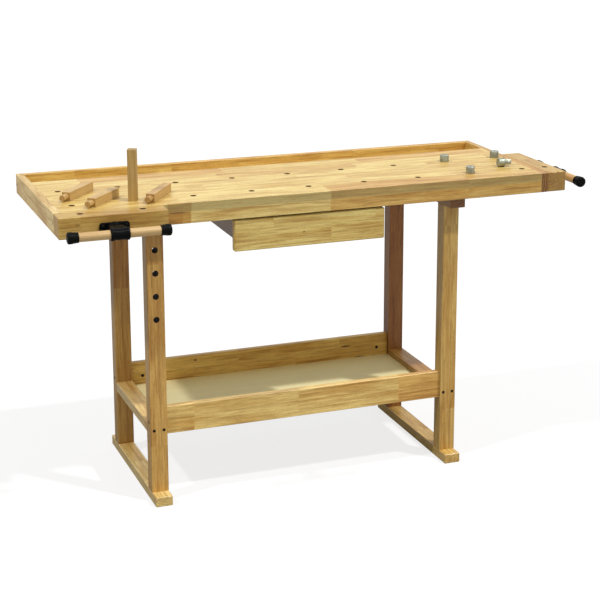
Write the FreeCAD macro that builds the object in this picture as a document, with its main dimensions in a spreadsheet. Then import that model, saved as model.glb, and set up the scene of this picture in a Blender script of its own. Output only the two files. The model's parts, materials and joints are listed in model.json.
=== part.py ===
import FreeCAD, Part
import os
import re
import Sketcher
from FreeCAD import Placement, Rotation, Vector

# A woodworking bench with a front vise, a tail vise, a drawer, a tool tray and a shelf.
# Lengths are in millimetres. +Z is up, the front of the bench faces -Y and the tail vise is at +X.
# Pieces are dimensioned from the front left corner of the top at floor level, and every placement
# then takes off half the overall length and depth, so the origin is the middle of the footprint.

SIZES = (
    # The top
    ("bench_length", 1438, "outer face to outer face of the two end boards"),
    ("bench_depth", 525, "front face to back face of the top"),
    ("work_height", 860, "floor to working surface"),
    ("edge_height", 57, "height of the end boards, back rail and built-up front edge"),
    ("slab_thickness", 24, "laminated working surface"),
    ("end_board_thickness", 20, "left and right end boards"),
    ("back_rail_thickness", 20, "rail behind the tool tray"),
    ("front_strip_width", 55, "strip glued under the front of the slab"),
    ("tray_strip_width", 40, "strip under the back of the slab"),
    ("end_strip_width", 55, "strip under the right end of the slab"),
    ("end_screw_drop", 7, "underside of the slab to the screws of the end boards"),
    ("end_screw_setback", 18, "front face to the front screw of the end boards"),
    ("tray_width", 110, "slab to back rail"),
    ("tray_floor_lift", 3, "underside of the top to the tray floor"),
    ("tray_floor_thickness", 9, "tray floor panel"),
    ("groove_depth", 6, "grooves that hold the tray floor and the shelf panel"),
    ("dog_hole_radius", 8.5, "bench dog holes and leg peg holes"),
    ("dog_hole_first", 64, "left end to the first dog hole"),
    ("dog_hole_pitch", 166, "between dog holes along a row"),
    ("dog_hole_margin", 40, "least distance of a dog hole from the right end"),
    ("dog_row_front", 75, "front face to the front row"),
    ("dog_row_back", 252, "front face to the back row"),
    # The trestles
    ("leg_width", 48, "legs, feet and bearers along X"),
    ("leg_thickness", 42, "legs along Y"),
    ("trestle_inset", 256, "end of the top to the outer face of the legs"),
    ("foot_height", 28, "feet, bearers and side stretchers"),
    ("foot_setback", 15, "front of the top to the end of the foot"),
    ("leg_front_inset", 40, "front end of the foot to the front leg"),
    ("leg_back_inset", 40, "rear end of the foot to the rear leg"),
    ("stretcher_lift", 195, "floor to side stretcher"),
    ("peg_hole_drop", 137, "working surface to the top peg hole in the leg"),
    ("peg_hole_pitch", 65, "between peg holes in the leg"),
    # The shelf
    ("shelf_lift", 193, "floor to shelf rails"),
    ("shelf_rail_height", 80, "shelf rails"),
    ("shelf_rail_thickness", 20, "shelf rails"),
    ("shelf_rail_setback", 8, "outer face of the legs to the shelf rails"),
    ("shelf_panel_thickness", 9, "shelf panel"),
    ("shelf_panel_lift", 3, "bottom of the shelf rails to the panel"),
    ("rail_bolt_level", 37, "bottom of the shelf rails to the bolts"),
    # The drawer
    ("drawer_width", 440, "drawer front"),
    ("drawer_offset", 11, "middle of the drawer to the left of the middle of the top"),
    ("drawer_front_height", 88, "drawer front"),
    ("drawer_front_thickness", 20, "drawer front"),
    ("drawer_front_setback", 4, "front of the top to the drawer front"),
    ("drawer_gap", 4, "top edge to the drawer front"),
    ("drawer_side_inset", 12, "end of the drawer front to the drawer side"),
    ("drawer_side_height", 60, "drawer sides"),
    ("drawer_side_gap", 6, "top edge to the drawer sides"),
    ("drawer_board", 12, "thickness of the drawer sides and back"),
    ("drawer_length", 350, "drawer sides"),
    ("drawer_bottom_thickness", 6, "drawer bottom"),
    ("drawer_bottom_lift", 6, "bottom of the drawer sides to the drawer bottom"),
    ("slide_strip_height", 10, "strip on the inside of each drawer side"),
    ("slide_strip_width", 12, "strip on the inside of each drawer side"),
    ("runner_lip_height", 8, "lip of the drawer runner"),
    ("runner_web_width", 12, "web of the drawer runner"),
    ("runner_gap", 2, "sideways play between drawer and runner"),
    ("slide_gap", 0.3, "play of a loose sliding or resting face"),
    # The vises
    ("jaw_length", 290, "both wooden jaws"),
    ("jaw_thickness", 58, "both wooden jaws"),
    ("jaw_hole_setback", 25, "inner face of the front jaw to its dog holes"),
    ("vise_drop", 15, "underside of the slab to the axis of the vise screws"),
    ("screw_radius", 11, "vise screws"),
    ("screw_reach", 220, "inner face of the jaw to the end of the screw"),
    ("screw_tip", 2, "chamfer on the end of the screw"),
    ("collar_radius", 14, "thrust collar on the screw"),
    ("collar_length", 6, "thrust collar on the screw"),
    ("rod_radius", 8, "guide rods"),
    ("rod_offset", 42, "screw axis to guide rod axis"),
    ("rod_socket", 15, "depth of the guide rods in the jaw"),
    ("rod_reach", 245, "inner face of the jaw to the far end of the rods"),
    ("tie_margin", 5, "tie bar beyond the guide rods, short enough to pass the front row of dogs"),
    ("tie_thickness", 8, "tie bar across the guide rods"),
    ("steel_height", 28, "tie bar and nut plate"),
    ("nut_plate_length", 120, "nut plate"),
    ("nut_plate_thickness", 8, "nut plate"),
    ("nut_length", 20, "nut block behind the plate"),
    ("nut_width", 28, "nut block"),
    ("bracket_length", 80, "bracket on the face of the jaw"),
    ("bracket_height", 38, "bracket on the face of the jaw"),
    ("bracket_thickness", 6, "bracket on the face of the jaw"),
    ("bracket_corner", 9, "corner radius of the bracket"),
    ("boss_radius", 18, "boss of the bracket"),
    ("boss_height", 8, "boss of the bracket"),
    ("hub_standoff", 57, "face of the jaw to the handle axis"),
    ("hub_radius", 17, "barrel of the hub"),
    ("hub_length", 50, "barrel of the hub"),
    ("neck_width", 42, "neck of the hub, along the handle"),
    ("neck_height", 30, "neck of the hub"),
    ("neck_corner", 6, "cut corners of the neck of the hub"),
    ("hub_web", 2, "metal between the end of the screw and the bore for the handle"),
    ("handle_radius", 12, "wooden handle"),
    ("handle_length", 272, "handle with its two caps"),
    ("cap_radius", 15.5, "rubber cap"),
    ("cap_length", 29, "rubber cap"),
    ("cap_end", 9, "solid end of the rubber cap"),
    ("cap_rounding", 5, "rounded end of the rubber cap"),
    ("tail_handle_shift", 3, "tail vise handle pushed towards the front"),
    # Pegs and dogs
    ("peg_width", 24, "square of the wooden pegs"),
    ("peg_length", 140, "square part of the wooden pegs"),
    ("tenon_radius", 8, "round tenon of the pegs"),
    ("tenon_length", 23, "round tenon of the pegs"),
    ("dog_head_radius", 13.5, "head of the metal dogs"),
    ("dog_head_height", 20, "head of the metal dogs"),
    ("shank_radius", 8.2, "shank of the metal dogs"),
    ("shank_length", 20, "shank of the metal dogs"),
    ("dog_flat_depth", 3, "flat on the head of the metal dogs"),
    # Fasteners, clearances and edges
    ("bolt_radius", 3.5, "rail bolts"),
    ("bolt_head_radius", 5.5, "rail bolts"),
    ("bolt_head_height", 5, "rail bolts"),
    ("bolt_length", 85, "rail bolts under the head"),
    ("bolt_recess", 1, "depth of a bolt or screw head below the wood"),
    ("barrel_nut_radius", 5, "barrel nuts in the shelf rails"),
    ("barrel_nut_distance", 35, "end of the rail to the barrel nut"),
    ("barrel_nut_length", 14, "barrel nuts"),
    ("screw_pair_offset", 14, "centre of the leg to each of a pair of screws"),
    ("wood_screw_radius", 2.5, "wood screws"),
    ("wood_screw_head", 4.5, "wood screws"),
    ("wood_screw_head_height", 4, "wood screws"),
    ("wood_screw_length", 66, "wood screws under the head"),
    ("bracket_screw_radius", 2.2, "screws of the vise brackets"),
    ("bracket_screw_head", 4, "screws of the vise brackets"),
    ("bracket_screw_head_height", 2.5, "screws of the vise brackets"),
    ("bracket_screw_length", 30, "screws of the vise brackets"),
    ("bracket_screw_side", 31, "screw axis to the bracket screws, along the bracket"),
    ("bracket_screw_rise", 11, "screw axis to the bracket screws, up and down"),
    ("fastener_play", 0.1, "hole over fastener, on the radius"),
    ("running_play", 0.05, "bearing over shaft, on the radius"),
    ("wood_play", 0.5, "bore in wood over a sliding steel part, on the radius"),
    ("handle_play", 0.4, "hub bore over handle, on the radius"),
    ("eased_edge", 1.5, "chamfer on exposed wooden edges"),
    ("jaw_rounding", 3, "rounded edges of the jaws"),
    ("small_edge", 0.8, "chamfer on metal edges and peg ends"),
)

PEG_HOLES_IN_LEG = 4
FRONT_JAW_HOLES = (0, 1)

doc = FreeCAD.newDocument("workbench")
sheet = doc.addObject("Spreadsheet::Sheet", "Dimensions")
for row, (alias, value, meaning) in enumerate(SIZES, start=1):
    sheet.set(f"A{row}", meaning)
    sheet.set(f"B{row}", str(value))
    sheet.setAlias(f"B{row}", alias)
doc.recompute()

NAMES = {alias for alias, value, meaning in SIZES}


def formula(text):
    """Turn a formula in plain names into one that reads the sheet."""
    def named(match):
        word = match.group(0)
        return f"Dimensions.{word}" if word in NAMES else word
    return re.sub(r"[a-z_]+", named, str(text))


def size(name):
    """The value of one cell."""
    return float(sheet.get(name))


# Levels and distances that several pieces share, as formulas over the sheet
UNDER = "(work_height - edge_height)"
SLAB_UNDER = "(work_height - slab_thickness)"
SLAB_BACK = "(bench_depth - back_rail_thickness - tray_width)"
RIGHT_INNER = "(bench_length - end_board_thickness)"
STRIP_HEIGHT = "(edge_height - slab_thickness)"
TRAY_FLOOR_UNDER = f"({UNDER} + tray_floor_lift)"
LEFT_LEG = "trestle_inset"
RIGHT_LEG = "(bench_length - trestle_inset - leg_width)"
FRONT_LEG = "(foot_setback + leg_front_inset)"
BACK_LEG = "(bench_depth - leg_back_inset - leg_thickness)"
LEG_TOP = f"({UNDER} - foot_height)"
RAIL_START = "(trestle_inset + leg_width)"
RAIL_LENGTH = f"({RIGHT_LEG} - {RAIL_START})"
FRONT_RAIL = f"({FRONT_LEG} + shelf_rail_setback)"
BACK_RAIL = f"({BACK_LEG} + leg_thickness - shelf_rail_setback - shelf_rail_thickness)"
VISE_AXIS = f"({SLAB_UNDER} - vise_drop)"
VISE_MIDDLE = "(jaw_length / 2)"
OVERALL_X = "(bench_length + jaw_thickness + hub_standoff + hub_radius)"
OVERHANG_Y = "(jaw_thickness + hub_standoff + hub_radius)"
ORIGIN = (f"{OVERALL_X} / 2", f"(bench_depth - {OVERHANG_Y}) / 2", "0")

finished = []


def place(item, spot, rotation=Rotation()):
    """Put a piece's own origin at a spot given by three formulas."""
    item.Placement = Placement(Vector(), rotation)
    for axis, text, shift in zip("xyz", spot, ORIGIN):
        item.setExpression(f"Placement.Base.{axis}", formula(f"{text} - ({shift})"))


def finish(item, label):
    """Give a finished piece the name that its file will have."""
    item.Label = label
    finished.append(item)
    return item


def origin_plane(body, role):
    return next(item for item in body.Origin.OriginFeatures if item.Role == role)


def sketch_on(body, role, lift="0"):
    sketch = body.newObject("Sketcher::SketchObject", f"{body.Name}_sketch")
    sketch.AttachmentSupport = [(origin_plane(body, role), "")]
    sketch.MapMode = "FlatFace"
    if lift != "0":
        sketch.setExpression("AttachmentOffset.Base.z", formula(lift))
    return sketch


def fix_point(sketch, line, end, spot):
    """Hold one sketch point at a spot given by two formulas."""
    for kind, axis, text in (("DistanceX", -2, spot[0]), ("DistanceY", -1, spot[1])):
        if text == "0":
            sketch.addConstraint(Sketcher.Constraint("PointOnObject", line, end, axis))
            continue
        number = sketch.addConstraint(Sketcher.Constraint(kind, -1, 1, line, end, 10.0))
        sketch.setExpression(f"Constraints[{number}]", formula(text))


def outline(sketch, corners):
    """A closed polygon whose corners are pairs of formulas."""
    rough = [Vector(10.0 * index, 7.0 * (index % 3), 0) for index in range(len(corners))]
    for index, start in enumerate(rough):
        stop = rough[(index + 1) % len(rough)]
        sketch.addGeometry(Part.LineSegment(start, stop), False)
    for index in range(len(corners)):
        after = (index + 1) % len(corners)
        sketch.addConstraint(Sketcher.Constraint("Coincident", index, 2, after, 1))
    for index, corner in enumerate(corners):
        fix_point(sketch, index, 1, corner)


def rectangle(sketch, low, high):
    outline(sketch, ((low[0], low[1]), (high[0], low[1]), (high[0], high[1]), (low[0], high[1])))


def circles(sketch, spots, radius):
    for index, spot in enumerate(spots):
        start = Vector(5.0 + 9.0 * index, 5.0, 0)
        sketch.addGeometry(Part.Circle(start, Vector(0, 0, 1), 2.0), False)
        fix_point(sketch, index, 3, spot)
        number = sketch.addConstraint(Sketcher.Constraint("Radius", index, 2.0))
        sketch.setExpression(f"Constraints[{number}]", formula(radius))


def pad(body, sketch, length, backwards=False):
    feature = body.newObject("PartDesign::Pad", f"{body.Name}_pad")
    feature.Profile = sketch
    feature.setExpression("Length", formula(length))
    feature.Reversed = backwards
    body.Tip = feature
    return feature


def cut(body, sketch, length=None):
    """Pocket a sketch right through, or as deep as length into the wood."""
    doc.recompute()
    before = body.Shape.Volume
    feature = body.newObject("PartDesign::Pocket", f"{body.Name}_pocket")
    feature.Profile = sketch
    if length is None:
        feature.Type = "ThroughAll"
        feature.Midplane = True
    else:
        feature.setExpression("Length", formula(length))
    body.Tip = feature
    doc.recompute()
    if length is not None and body.Shape.Volume > before - 1e-6:
        feature.Reversed = True
        doc.recompute()
    if body.Shape.Volume > before - 1e-6:
        raise RuntimeError(f"{body.Name}: a pocket cuts nothing")
    return feature


def ease_all(body, text, kind="Chamfer"):
    """Chamfer or fillet every edge of the body as it is now."""
    tip = body.Tip
    doc.recompute()
    feature = body.newObject(f"PartDesign::{kind}", f"{body.Name}_edges")
    feature.Base = (tip, [f"Edge{number + 1}" for number in range(len(tip.Shape.Edges))])
    feature.setExpression("Size" if kind == "Chamfer" else "Radius", formula(text))
    body.Tip = feature
    return feature


SIDES = {"left": ("x", "XMin"), "right": ("x", "XMax"), "front": ("y", "YMin"),
         "back": ("y", "YMax"), "bottom": ("z", "ZMin"), "top": ("z", "ZMax")}


def on_side(edge, box, side):
    axis, bound = SIDES[side]
    return all(abs(getattr(vertex.Point, axis) - getattr(box, bound)) < 1e-4 for vertex in edge.Vertexes)


def ease(body, text, pairs, kind="Chamfer"):
    """Chamfer or fillet only the edges that two named sides share."""
    tip = body.Tip
    doc.recompute()
    box = tip.Shape.BoundBox
    names = []
    for number, edge in enumerate(tip.Shape.Edges, start=1):
        if any(on_side(edge, box, one) and on_side(edge, box, other) for one, other in pairs):
            names.append(f"Edge{number}")
    feature = body.newObject(f"PartDesign::{kind}", f"{body.Name}_edges")
    feature.Base = (tip, names)
    feature.setExpression("Size" if kind == "Chamfer" else "Radius", formula(text))
    body.Tip = feature
    return feature


def board(label, spot, extent, eased="eased_edge", pairs=None):
    """A rectangular board with its low corner at spot, eased all round or along some edges."""
    body = doc.addObject("PartDesign::Body", label)
    sketch = sketch_on(body, "XY_Plane")
    rectangle(sketch, ("0", "0"), (extent[0], extent[1]))
    pad(body, sketch, extent[2])
    if pairs is None and eased:
        ease_all(body, eased)
    elif pairs:
        ease(body, eased, pairs)
    place(body, spot)
    return finish(body, label)


def drill(body, role, spots, radius, lift="0", depth=None):
    """Round holes normal to one of the body's planes, through or depth deep from lift."""
    sketch = sketch_on(body, role, lift)
    circles(sketch, spots, radius)
    return cut(body, sketch, depth)


def trench(body, role, low, high, lift="0", depth=None):
    sketch = sketch_on(body, role, lift)
    rectangle(sketch, low, high)
    return cut(body, sketch, depth)


def turned(label, profile, spot, rotation=Rotation()):
    """A piece turned about its own Z axis from (radius, height) corners."""
    body = doc.addObject("PartDesign::Body", label)
    sketch = sketch_on(body, "XZ_Plane")
    outline(sketch, profile)
    feature = body.newObject("PartDesign::Revolution", f"{label}_turning")
    feature.Profile = sketch
    feature.ReferenceAxis = (sketch, ["V_Axis"])
    feature.Angle = 360.0
    body.Tip = feature
    place(body, spot, rotation)
    return finish(body, label)


def cylinder(name, radius, length, spot, direction):
    item = doc.addObject("Part::Cylinder", name)
    item.setExpression("Radius", formula(radius))
    item.setExpression("Height", formula(length))
    place(item, spot, Rotation(Vector(0, 0, 1), direction))
    return item


def shifted(spot, direction, distance):
    """The spot moved along an axis direction by a formula."""
    moved = []
    for text, part in zip(spot, direction):
        moved.append(text if part == 0 else f"({text}) + ({distance}) * ({int(part)})")
    return moved


def fastener(name, head, shank, spot, direction):
    """A headed screw: spot is the outer face of its head, direction the way it is driven."""
    head_radius, head_height = head
    shank_radius, shank_length = shank
    under_head = shifted(spot, direction, head_height)
    pieces = [cylinder(f"{name}_head", head_radius, head_height, spot, direction),
              cylinder(f"{name}_shank", shank_radius, shank_length, under_head, direction)]
    screw = doc.addObject("Part::MultiFuse", name)
    screw.Shapes = pieces
    return screw


def group(label, items):
    """Separate solids that share one node."""
    compound = doc.addObject("Part::Compound", label)
    compound.Links = items
    return finish(compound, label)


UP = Vector(0, 0, 1)
DOWN = Vector(0, 0, -1)
LEFT = Vector(-1, 0, 0)
RIGHT = Vector(1, 0, 0)
FORWARD = Vector(0, -1, 0)
BACKWARD = Vector(0, 1, 0)

# ---------------------------------------------------------------- the top

hole_run = size("bench_length") - size("dog_hole_first") - size("dog_hole_margin")
DOG_HOLES = int(hole_run // size("dog_hole_pitch")) + 1
PEG_COLUMN = 1
NEXT_TO_LAST = DOG_HOLES - 2
LAST = DOG_HOLES - 1


def hole_column(index):
    return f"(dog_hole_first + dog_hole_pitch * {index})"


slab_spots = []
for dog_row in ("dog_row_front", "dog_row_back"):
    slab_spots += [(f"{hole_column(index)} - end_board_thickness", dog_row) for index in range(DOG_HOLES)]

slab = board("worktop_slab", ("end_board_thickness", "0", SLAB_UNDER),
             (f"{RIGHT_INNER} - end_board_thickness", SLAB_BACK, "slab_thickness"),
             pairs=(("front", "top"), ("back", "top")))
drill(slab, "XY_Plane", slab_spots, "dog_hole_radius")

front_strip = board("front_edge_strip", ("end_board_thickness", "0", UNDER),
                    (f"{RIGHT_INNER} - end_board_thickness", "front_strip_width", STRIP_HEIGHT),
                    pairs=(("front", "bottom"),))
tray_strip = board("tray_side_strip",
                   ("end_board_thickness", f"{SLAB_BACK} - tray_strip_width", UNDER),
                   (f"{RIGHT_INNER} - end_board_thickness", "tray_strip_width", STRIP_HEIGHT), eased=None)
right_strip = board("right_end_strip",
                    (f"{RIGHT_INNER} - end_strip_width", "front_strip_width", UNDER),
                    ("end_strip_width", f"{SLAB_BACK} - tray_strip_width - front_strip_width",
                     STRIP_HEIGHT), eased=None)

OUTER_EDGES = (("left", "top"), ("left", "bottom"), ("left", "back"), ("back", "top"), ("back", "bottom"))
left_board = board("left_end_board", ("0", "0", UNDER),
                   ("end_board_thickness", "bench_depth", "edge_height"), pairs=OUTER_EDGES)
MIRRORED_EDGES = (("right", "top"), ("right", "bottom"), ("right", "back"),
                  ("back", "top"), ("back", "bottom"), ("front", "bottom"), ("front", "top"))
right_board = board("right_end_board", (RIGHT_INNER, "0", UNDER),
                    ("end_board_thickness", "bench_depth", "edge_height"), pairs=MIRRORED_EDGES)
back_rail = board("back_rail",
                  ("end_board_thickness", "bench_depth - back_rail_thickness", UNDER),
                  (f"{RIGHT_INNER} - end_board_thickness", "back_rail_thickness", "edge_height"),
                  pairs=(("back", "top"), ("back", "bottom"), ("front", "top")))
tray_floor = board("tray_floor",
                   ("end_board_thickness - groove_depth", f"{SLAB_BACK} - groove_depth", TRAY_FLOOR_UNDER),
                   (f"{RIGHT_INNER} - end_board_thickness + 2 * groove_depth",
                    "tray_width + 2 * groove_depth", "tray_floor_thickness"), eased=None)

# Grooves for the tray floor, seen from the end (Y and Z) or from the front (X and Z)
GROOVE_LOW = f"({TRAY_FLOOR_UNDER} - {UNDER})"
GROOVE_HIGH = f"({GROOVE_LOW} + tray_floor_thickness)"
trench(back_rail, "YZ_Plane", ("0", GROOVE_LOW), ("groove_depth", GROOVE_HIGH))
trench(tray_strip, "YZ_Plane", ("tray_strip_width - groove_depth", GROOVE_LOW),
       ("tray_strip_width", GROOVE_HIGH))
GROOVE_FROM = f"{SLAB_BACK} - groove_depth"
GROOVE_TO = "bench_depth - back_rail_thickness + groove_depth"
trench(left_board, "YZ_Plane", (GROOVE_FROM, GROOVE_LOW), (GROOVE_TO, GROOVE_HIGH),
       "end_board_thickness", "groove_depth")
trench(right_board, "YZ_Plane", (GROOVE_FROM, GROOVE_LOW), (GROOVE_TO, GROOVE_HIGH),
       "0", "groove_depth")

# The last column of dog holes goes on down through the strip at the right end, where it meets it
last_hole_edge = size("dog_hole_first") + size("dog_hole_pitch") * LAST + size("dog_hole_radius")
if last_hole_edge > size("bench_length") - size("end_board_thickness") - size("end_strip_width"):
    drill(right_strip, "XY_Plane",
          [(f"{hole_column(LAST)} - {RIGHT_INNER} + end_strip_width", f"{dog_row} - front_strip_width")
           for dog_row in ("dog_row_front", "dog_row_back")], "dog_hole_radius")

# ---------------------------------------------------------------- the trestles

LEG_LENGTH = f"{LEG_TOP} - foot_height"
FOOT_LENGTH = "(bench_depth - foot_setback)"
STRETCHER_LENGTH = f"{BACK_LEG} - {FRONT_LEG} - leg_thickness"
STRETCHER_MIDDLE = "(stretcher_lift + foot_height / 2)"
BOLT_LEVEL = "(shelf_lift + rail_bolt_level)"
PAIR = ("-screw_pair_offset", "+screw_pair_offset")

legs = {}
for side, leg_x in (("left", LEFT_LEG), ("right", RIGHT_LEG)):
    for depth, leg_y in (("front", FRONT_LEG), ("rear", BACK_LEG)):
        legs[side, depth] = board(f"{side}_{depth}_leg", (leg_x, leg_y, "foot_height"),
                                  ("leg_width", "leg_thickness", LEG_LENGTH),
                                  pairs=(("left", "front"), ("left", "back"),
                                         ("right", "front"), ("right", "back")))
    board(f"{side}_foot", (leg_x, "foot_setback", "0"), ("leg_width", FOOT_LENGTH, "foot_height"))
    board(f"{side}_bearer", (leg_x, "foot_setback", LEG_TOP), ("leg_width", FOOT_LENGTH, "foot_height"),
          pairs=(("left", "bottom"), ("right", "bottom"), ("front", "bottom"), ("back", "bottom"),
                 ("left", "front"), ("right", "front")))
    board(f"{side}_stretcher", (leg_x, f"{FRONT_LEG} + leg_thickness", "stretcher_lift"),
          ("leg_width", STRETCHER_LENGTH, "foot_height"),
          pairs=(("left", "top"), ("left", "bottom"), ("right", "top"), ("right", "bottom")))
named = {item.Label: item for item in finished}

drill(legs["left", "front"], "XZ_Plane",
      [("leg_width / 2", f"work_height - peg_hole_drop - foot_height - peg_hole_pitch * {index}")
       for index in range(PEG_HOLES_IN_LEG)], "dog_hole_radius")

# Bolts from outside through each leg into the end of a shelf rail, with a barrel nut in the rail
rail_bolts = []
HEAD_HOLE = "bolt_head_radius + fastener_play"
for depth, rail_y in (("front", FRONT_RAIL), ("rear", BACK_RAIL)):
    leg_y = FRONT_LEG if depth == "front" else BACK_LEG
    across = f"{rail_y} + shelf_rail_thickness / 2"
    for side in ("left", "right"):
        leg = legs[side, depth]
        centre = [(f"{across} - {leg_y}", f"{BOLT_LEVEL} - foot_height")]
        drill(leg, "YZ_Plane", centre, "bolt_radius + fastener_play")
        recess = "bolt_head_height + bolt_recess"
        if side == "left":
            drill(leg, "YZ_Plane", centre, HEAD_HOLE, "0", recess)
            spot = (f"{LEFT_LEG} + bolt_recess", across, BOLT_LEVEL)
            rail_bolts.append(fastener(f"bolt_{depth}_{side}", ("bolt_head_radius", "bolt_head_height"),
                                       ("bolt_radius", "bolt_length"), spot, RIGHT))
        else:
            drill(leg, "YZ_Plane", centre, HEAD_HOLE, "leg_width", recess)
            spot = (f"{RIGHT_LEG} + leg_width - bolt_recess", across, BOLT_LEVEL)
            rail_bolts.append(fastener(f"bolt_{depth}_{side}", ("bolt_head_radius", "bolt_head_height"),
                                       ("bolt_radius", "bolt_length"), spot, LEFT))
group("rail_bolts", rail_bolts)

# Pairs of screws that hold the stretchers, the feet and the bearers to the legs
HEAD = ("wood_screw_head", "wood_screw_head_height")
SHANK = ("wood_screw_radius", "wood_screw_length")
HEAD_BORE = "wood_screw_head + fastener_play"
SHANK_BORE = "wood_screw_radius + fastener_play"
RECESS = "wood_screw_head_height + bolt_recess"
REACH = "(bolt_recess + wood_screw_head_height + wood_screw_length)"
trestle_screws = []
for side, leg_x in (("left", LEFT_LEG), ("right", RIGHT_LEG)):
    foot = named[f"{side}_foot"]
    bearer = named[f"{side}_bearer"]
    stretcher = named[f"{side}_stretcher"]
    middle = f"{leg_x} + leg_width / 2"
    for depth, leg_y in (("front", FRONT_LEG), ("rear", BACK_LEG)):
        leg = legs[side, depth]
        leg_middle = f"({leg_y} + leg_thickness / 2)"
        foot_spots = [(f"leg_width / 2 {offset}", f"{leg_middle} - foot_setback") for offset in PAIR]
        drill(foot, "XY_Plane", foot_spots, SHANK_BORE)
        drill(foot, "XY_Plane", foot_spots, HEAD_BORE, "0", RECESS)
        drill(bearer, "XY_Plane", foot_spots, SHANK_BORE)
        drill(bearer, "XY_Plane", foot_spots, HEAD_BORE, "foot_height", RECESS)
        leg_spots = [(f"leg_width / 2 {offset}", "leg_thickness / 2") for offset in PAIR]
        into_leg = f"{REACH} - foot_height"
        drill(leg, "XY_Plane", leg_spots, SHANK_BORE, "0", into_leg)
        drill(leg, "XY_Plane", leg_spots, SHANK_BORE, LEG_LENGTH, into_leg)
        face_spots = [(f"leg_width / 2 {offset}", f"{STRETCHER_MIDDLE} - foot_height") for offset in PAIR]
        stretcher_spots = [(f"leg_width / 2 {offset}", "foot_height / 2") for offset in PAIR]
        into_stretcher = f"{REACH} - leg_thickness"
        drill(leg, "XZ_Plane", face_spots, SHANK_BORE)
        if depth == "front":
            drill(leg, "XZ_Plane", face_spots, HEAD_BORE, "0", RECESS)
            drill(stretcher, "XZ_Plane", stretcher_spots, SHANK_BORE, "0", into_stretcher)
        else:
            drill(leg, "XZ_Plane", face_spots, HEAD_BORE, "-leg_thickness", RECESS)
            drill(stretcher, "XZ_Plane", stretcher_spots, SHANK_BORE,
                  f"-({STRETCHER_LENGTH})", into_stretcher)
        for number, offset in enumerate(PAIR):
            stem = f"screw_{side}_{depth}_{number}"
            x = f"{middle} {offset}"
            trestle_screws.append(fastener(f"{stem}_foot", HEAD, SHANK,
                                           (x, leg_middle, "bolt_recess"), UP))
            trestle_screws.append(fastener(f"{stem}_bearer", HEAD, SHANK,
                                           (x, leg_middle, f"{UNDER} - bolt_recess"), DOWN))
            if depth == "front":
                face = f"{leg_y} + bolt_recess"
                way = BACKWARD
            else:
                face = f"{leg_y} + leg_thickness - bolt_recess"
                way = FORWARD
            trestle_screws.append(fastener(f"{stem}_stretcher", HEAD, SHANK,
                                           (x, face, STRETCHER_MIDDLE), way))
group("trestle_screws", trestle_screws)

# ---------------------------------------------------------------- the shelf

shelf_rails = {}
for depth, rail_y in (("front", FRONT_RAIL), ("back", BACK_RAIL)):
    rail = board(f"shelf_{depth}_rail", (RAIL_START, rail_y, "shelf_lift"),
                 (RAIL_LENGTH, "shelf_rail_thickness", "shelf_rail_height"),
                 pairs=(("front", "top"), ("back", "top"), ("front", "bottom"), ("back", "bottom")))
    shelf_rails[depth] = rail
PANEL_LOW = "shelf_panel_lift"
PANEL_HIGH = "(shelf_panel_lift + shelf_panel_thickness)"
trench(shelf_rails["front"], "YZ_Plane", ("shelf_rail_thickness - groove_depth", PANEL_LOW),
       ("shelf_rail_thickness", PANEL_HIGH))
trench(shelf_rails["back"], "YZ_Plane", ("0", PANEL_LOW), ("groove_depth", PANEL_HIGH))
board("shelf_panel",
      (RAIL_START, f"{FRONT_RAIL} + shelf_rail_thickness - groove_depth", "shelf_lift + shelf_panel_lift"),
      (RAIL_LENGTH, f"{BACK_RAIL} - {FRONT_RAIL} - shelf_rail_thickness + 2 * groove_depth",
       "shelf_panel_thickness"), eased=None)

# Bolt holes in the rail ends, and the barrel nuts that the bolts pull on
RAIL_BORE = "bolt_recess + bolt_head_height + bolt_length - leg_width + fastener_play"
barrel_nuts = []
for depth, rail_y in (("front", FRONT_RAIL), ("back", BACK_RAIL)):
    rail = shelf_rails[depth]
    centre = [("shelf_rail_thickness / 2", f"{BOLT_LEVEL} - shelf_lift")]
    drill(rail, "YZ_Plane", centre, "bolt_radius + fastener_play", "0", RAIL_BORE)
    drill(rail, "YZ_Plane", centre, "bolt_radius + fastener_play", RAIL_LENGTH, RAIL_BORE)
    nut_spots = [("barrel_nut_distance", f"{BOLT_LEVEL} - shelf_lift"),
                 (f"{RAIL_LENGTH} - barrel_nut_distance", f"{BOLT_LEVEL} - shelf_lift")]
    inner_face = "-shelf_rail_thickness" if depth == "front" else "0"
    drill(rail, "XZ_Plane", nut_spots, "barrel_nut_radius + fastener_play", inner_face,
          "barrel_nut_length + bolt_recess")
    if depth == "front":
        nut_y = f"{rail_y} + shelf_rail_thickness - bolt_recess"
        way = FORWARD
    else:
        nut_y = f"{rail_y} + bolt_recess"
        way = BACKWARD
    for end, nut_x in (("left", f"{RAIL_START} + barrel_nut_distance"),
                       ("right", f"{RAIL_START} + {RAIL_LENGTH} - barrel_nut_distance")):
        solid_nut = cylinder(f"nut_{depth}_{end}", "barrel_nut_radius", "barrel_nut_length",
                             (nut_x, nut_y, BOLT_LEVEL), way)
        bore = cylinder(f"nut_bore_{depth}_{end}", "bolt_radius + fastener_play", "barrel_nut_radius * 2",
                        (f"{nut_x} - barrel_nut_radius", f"{rail_y} + shelf_rail_thickness / 2",
                         BOLT_LEVEL), RIGHT)
        nut = doc.addObject("Part::Cut", f"barrel_nut_{depth}_{end}")
        nut.Base = solid_nut
        nut.Tool = bore
        barrel_nuts.append(nut)
group("rail_barrel_nuts", barrel_nuts)

# ---------------------------------------------------------------- screws of the top

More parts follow.
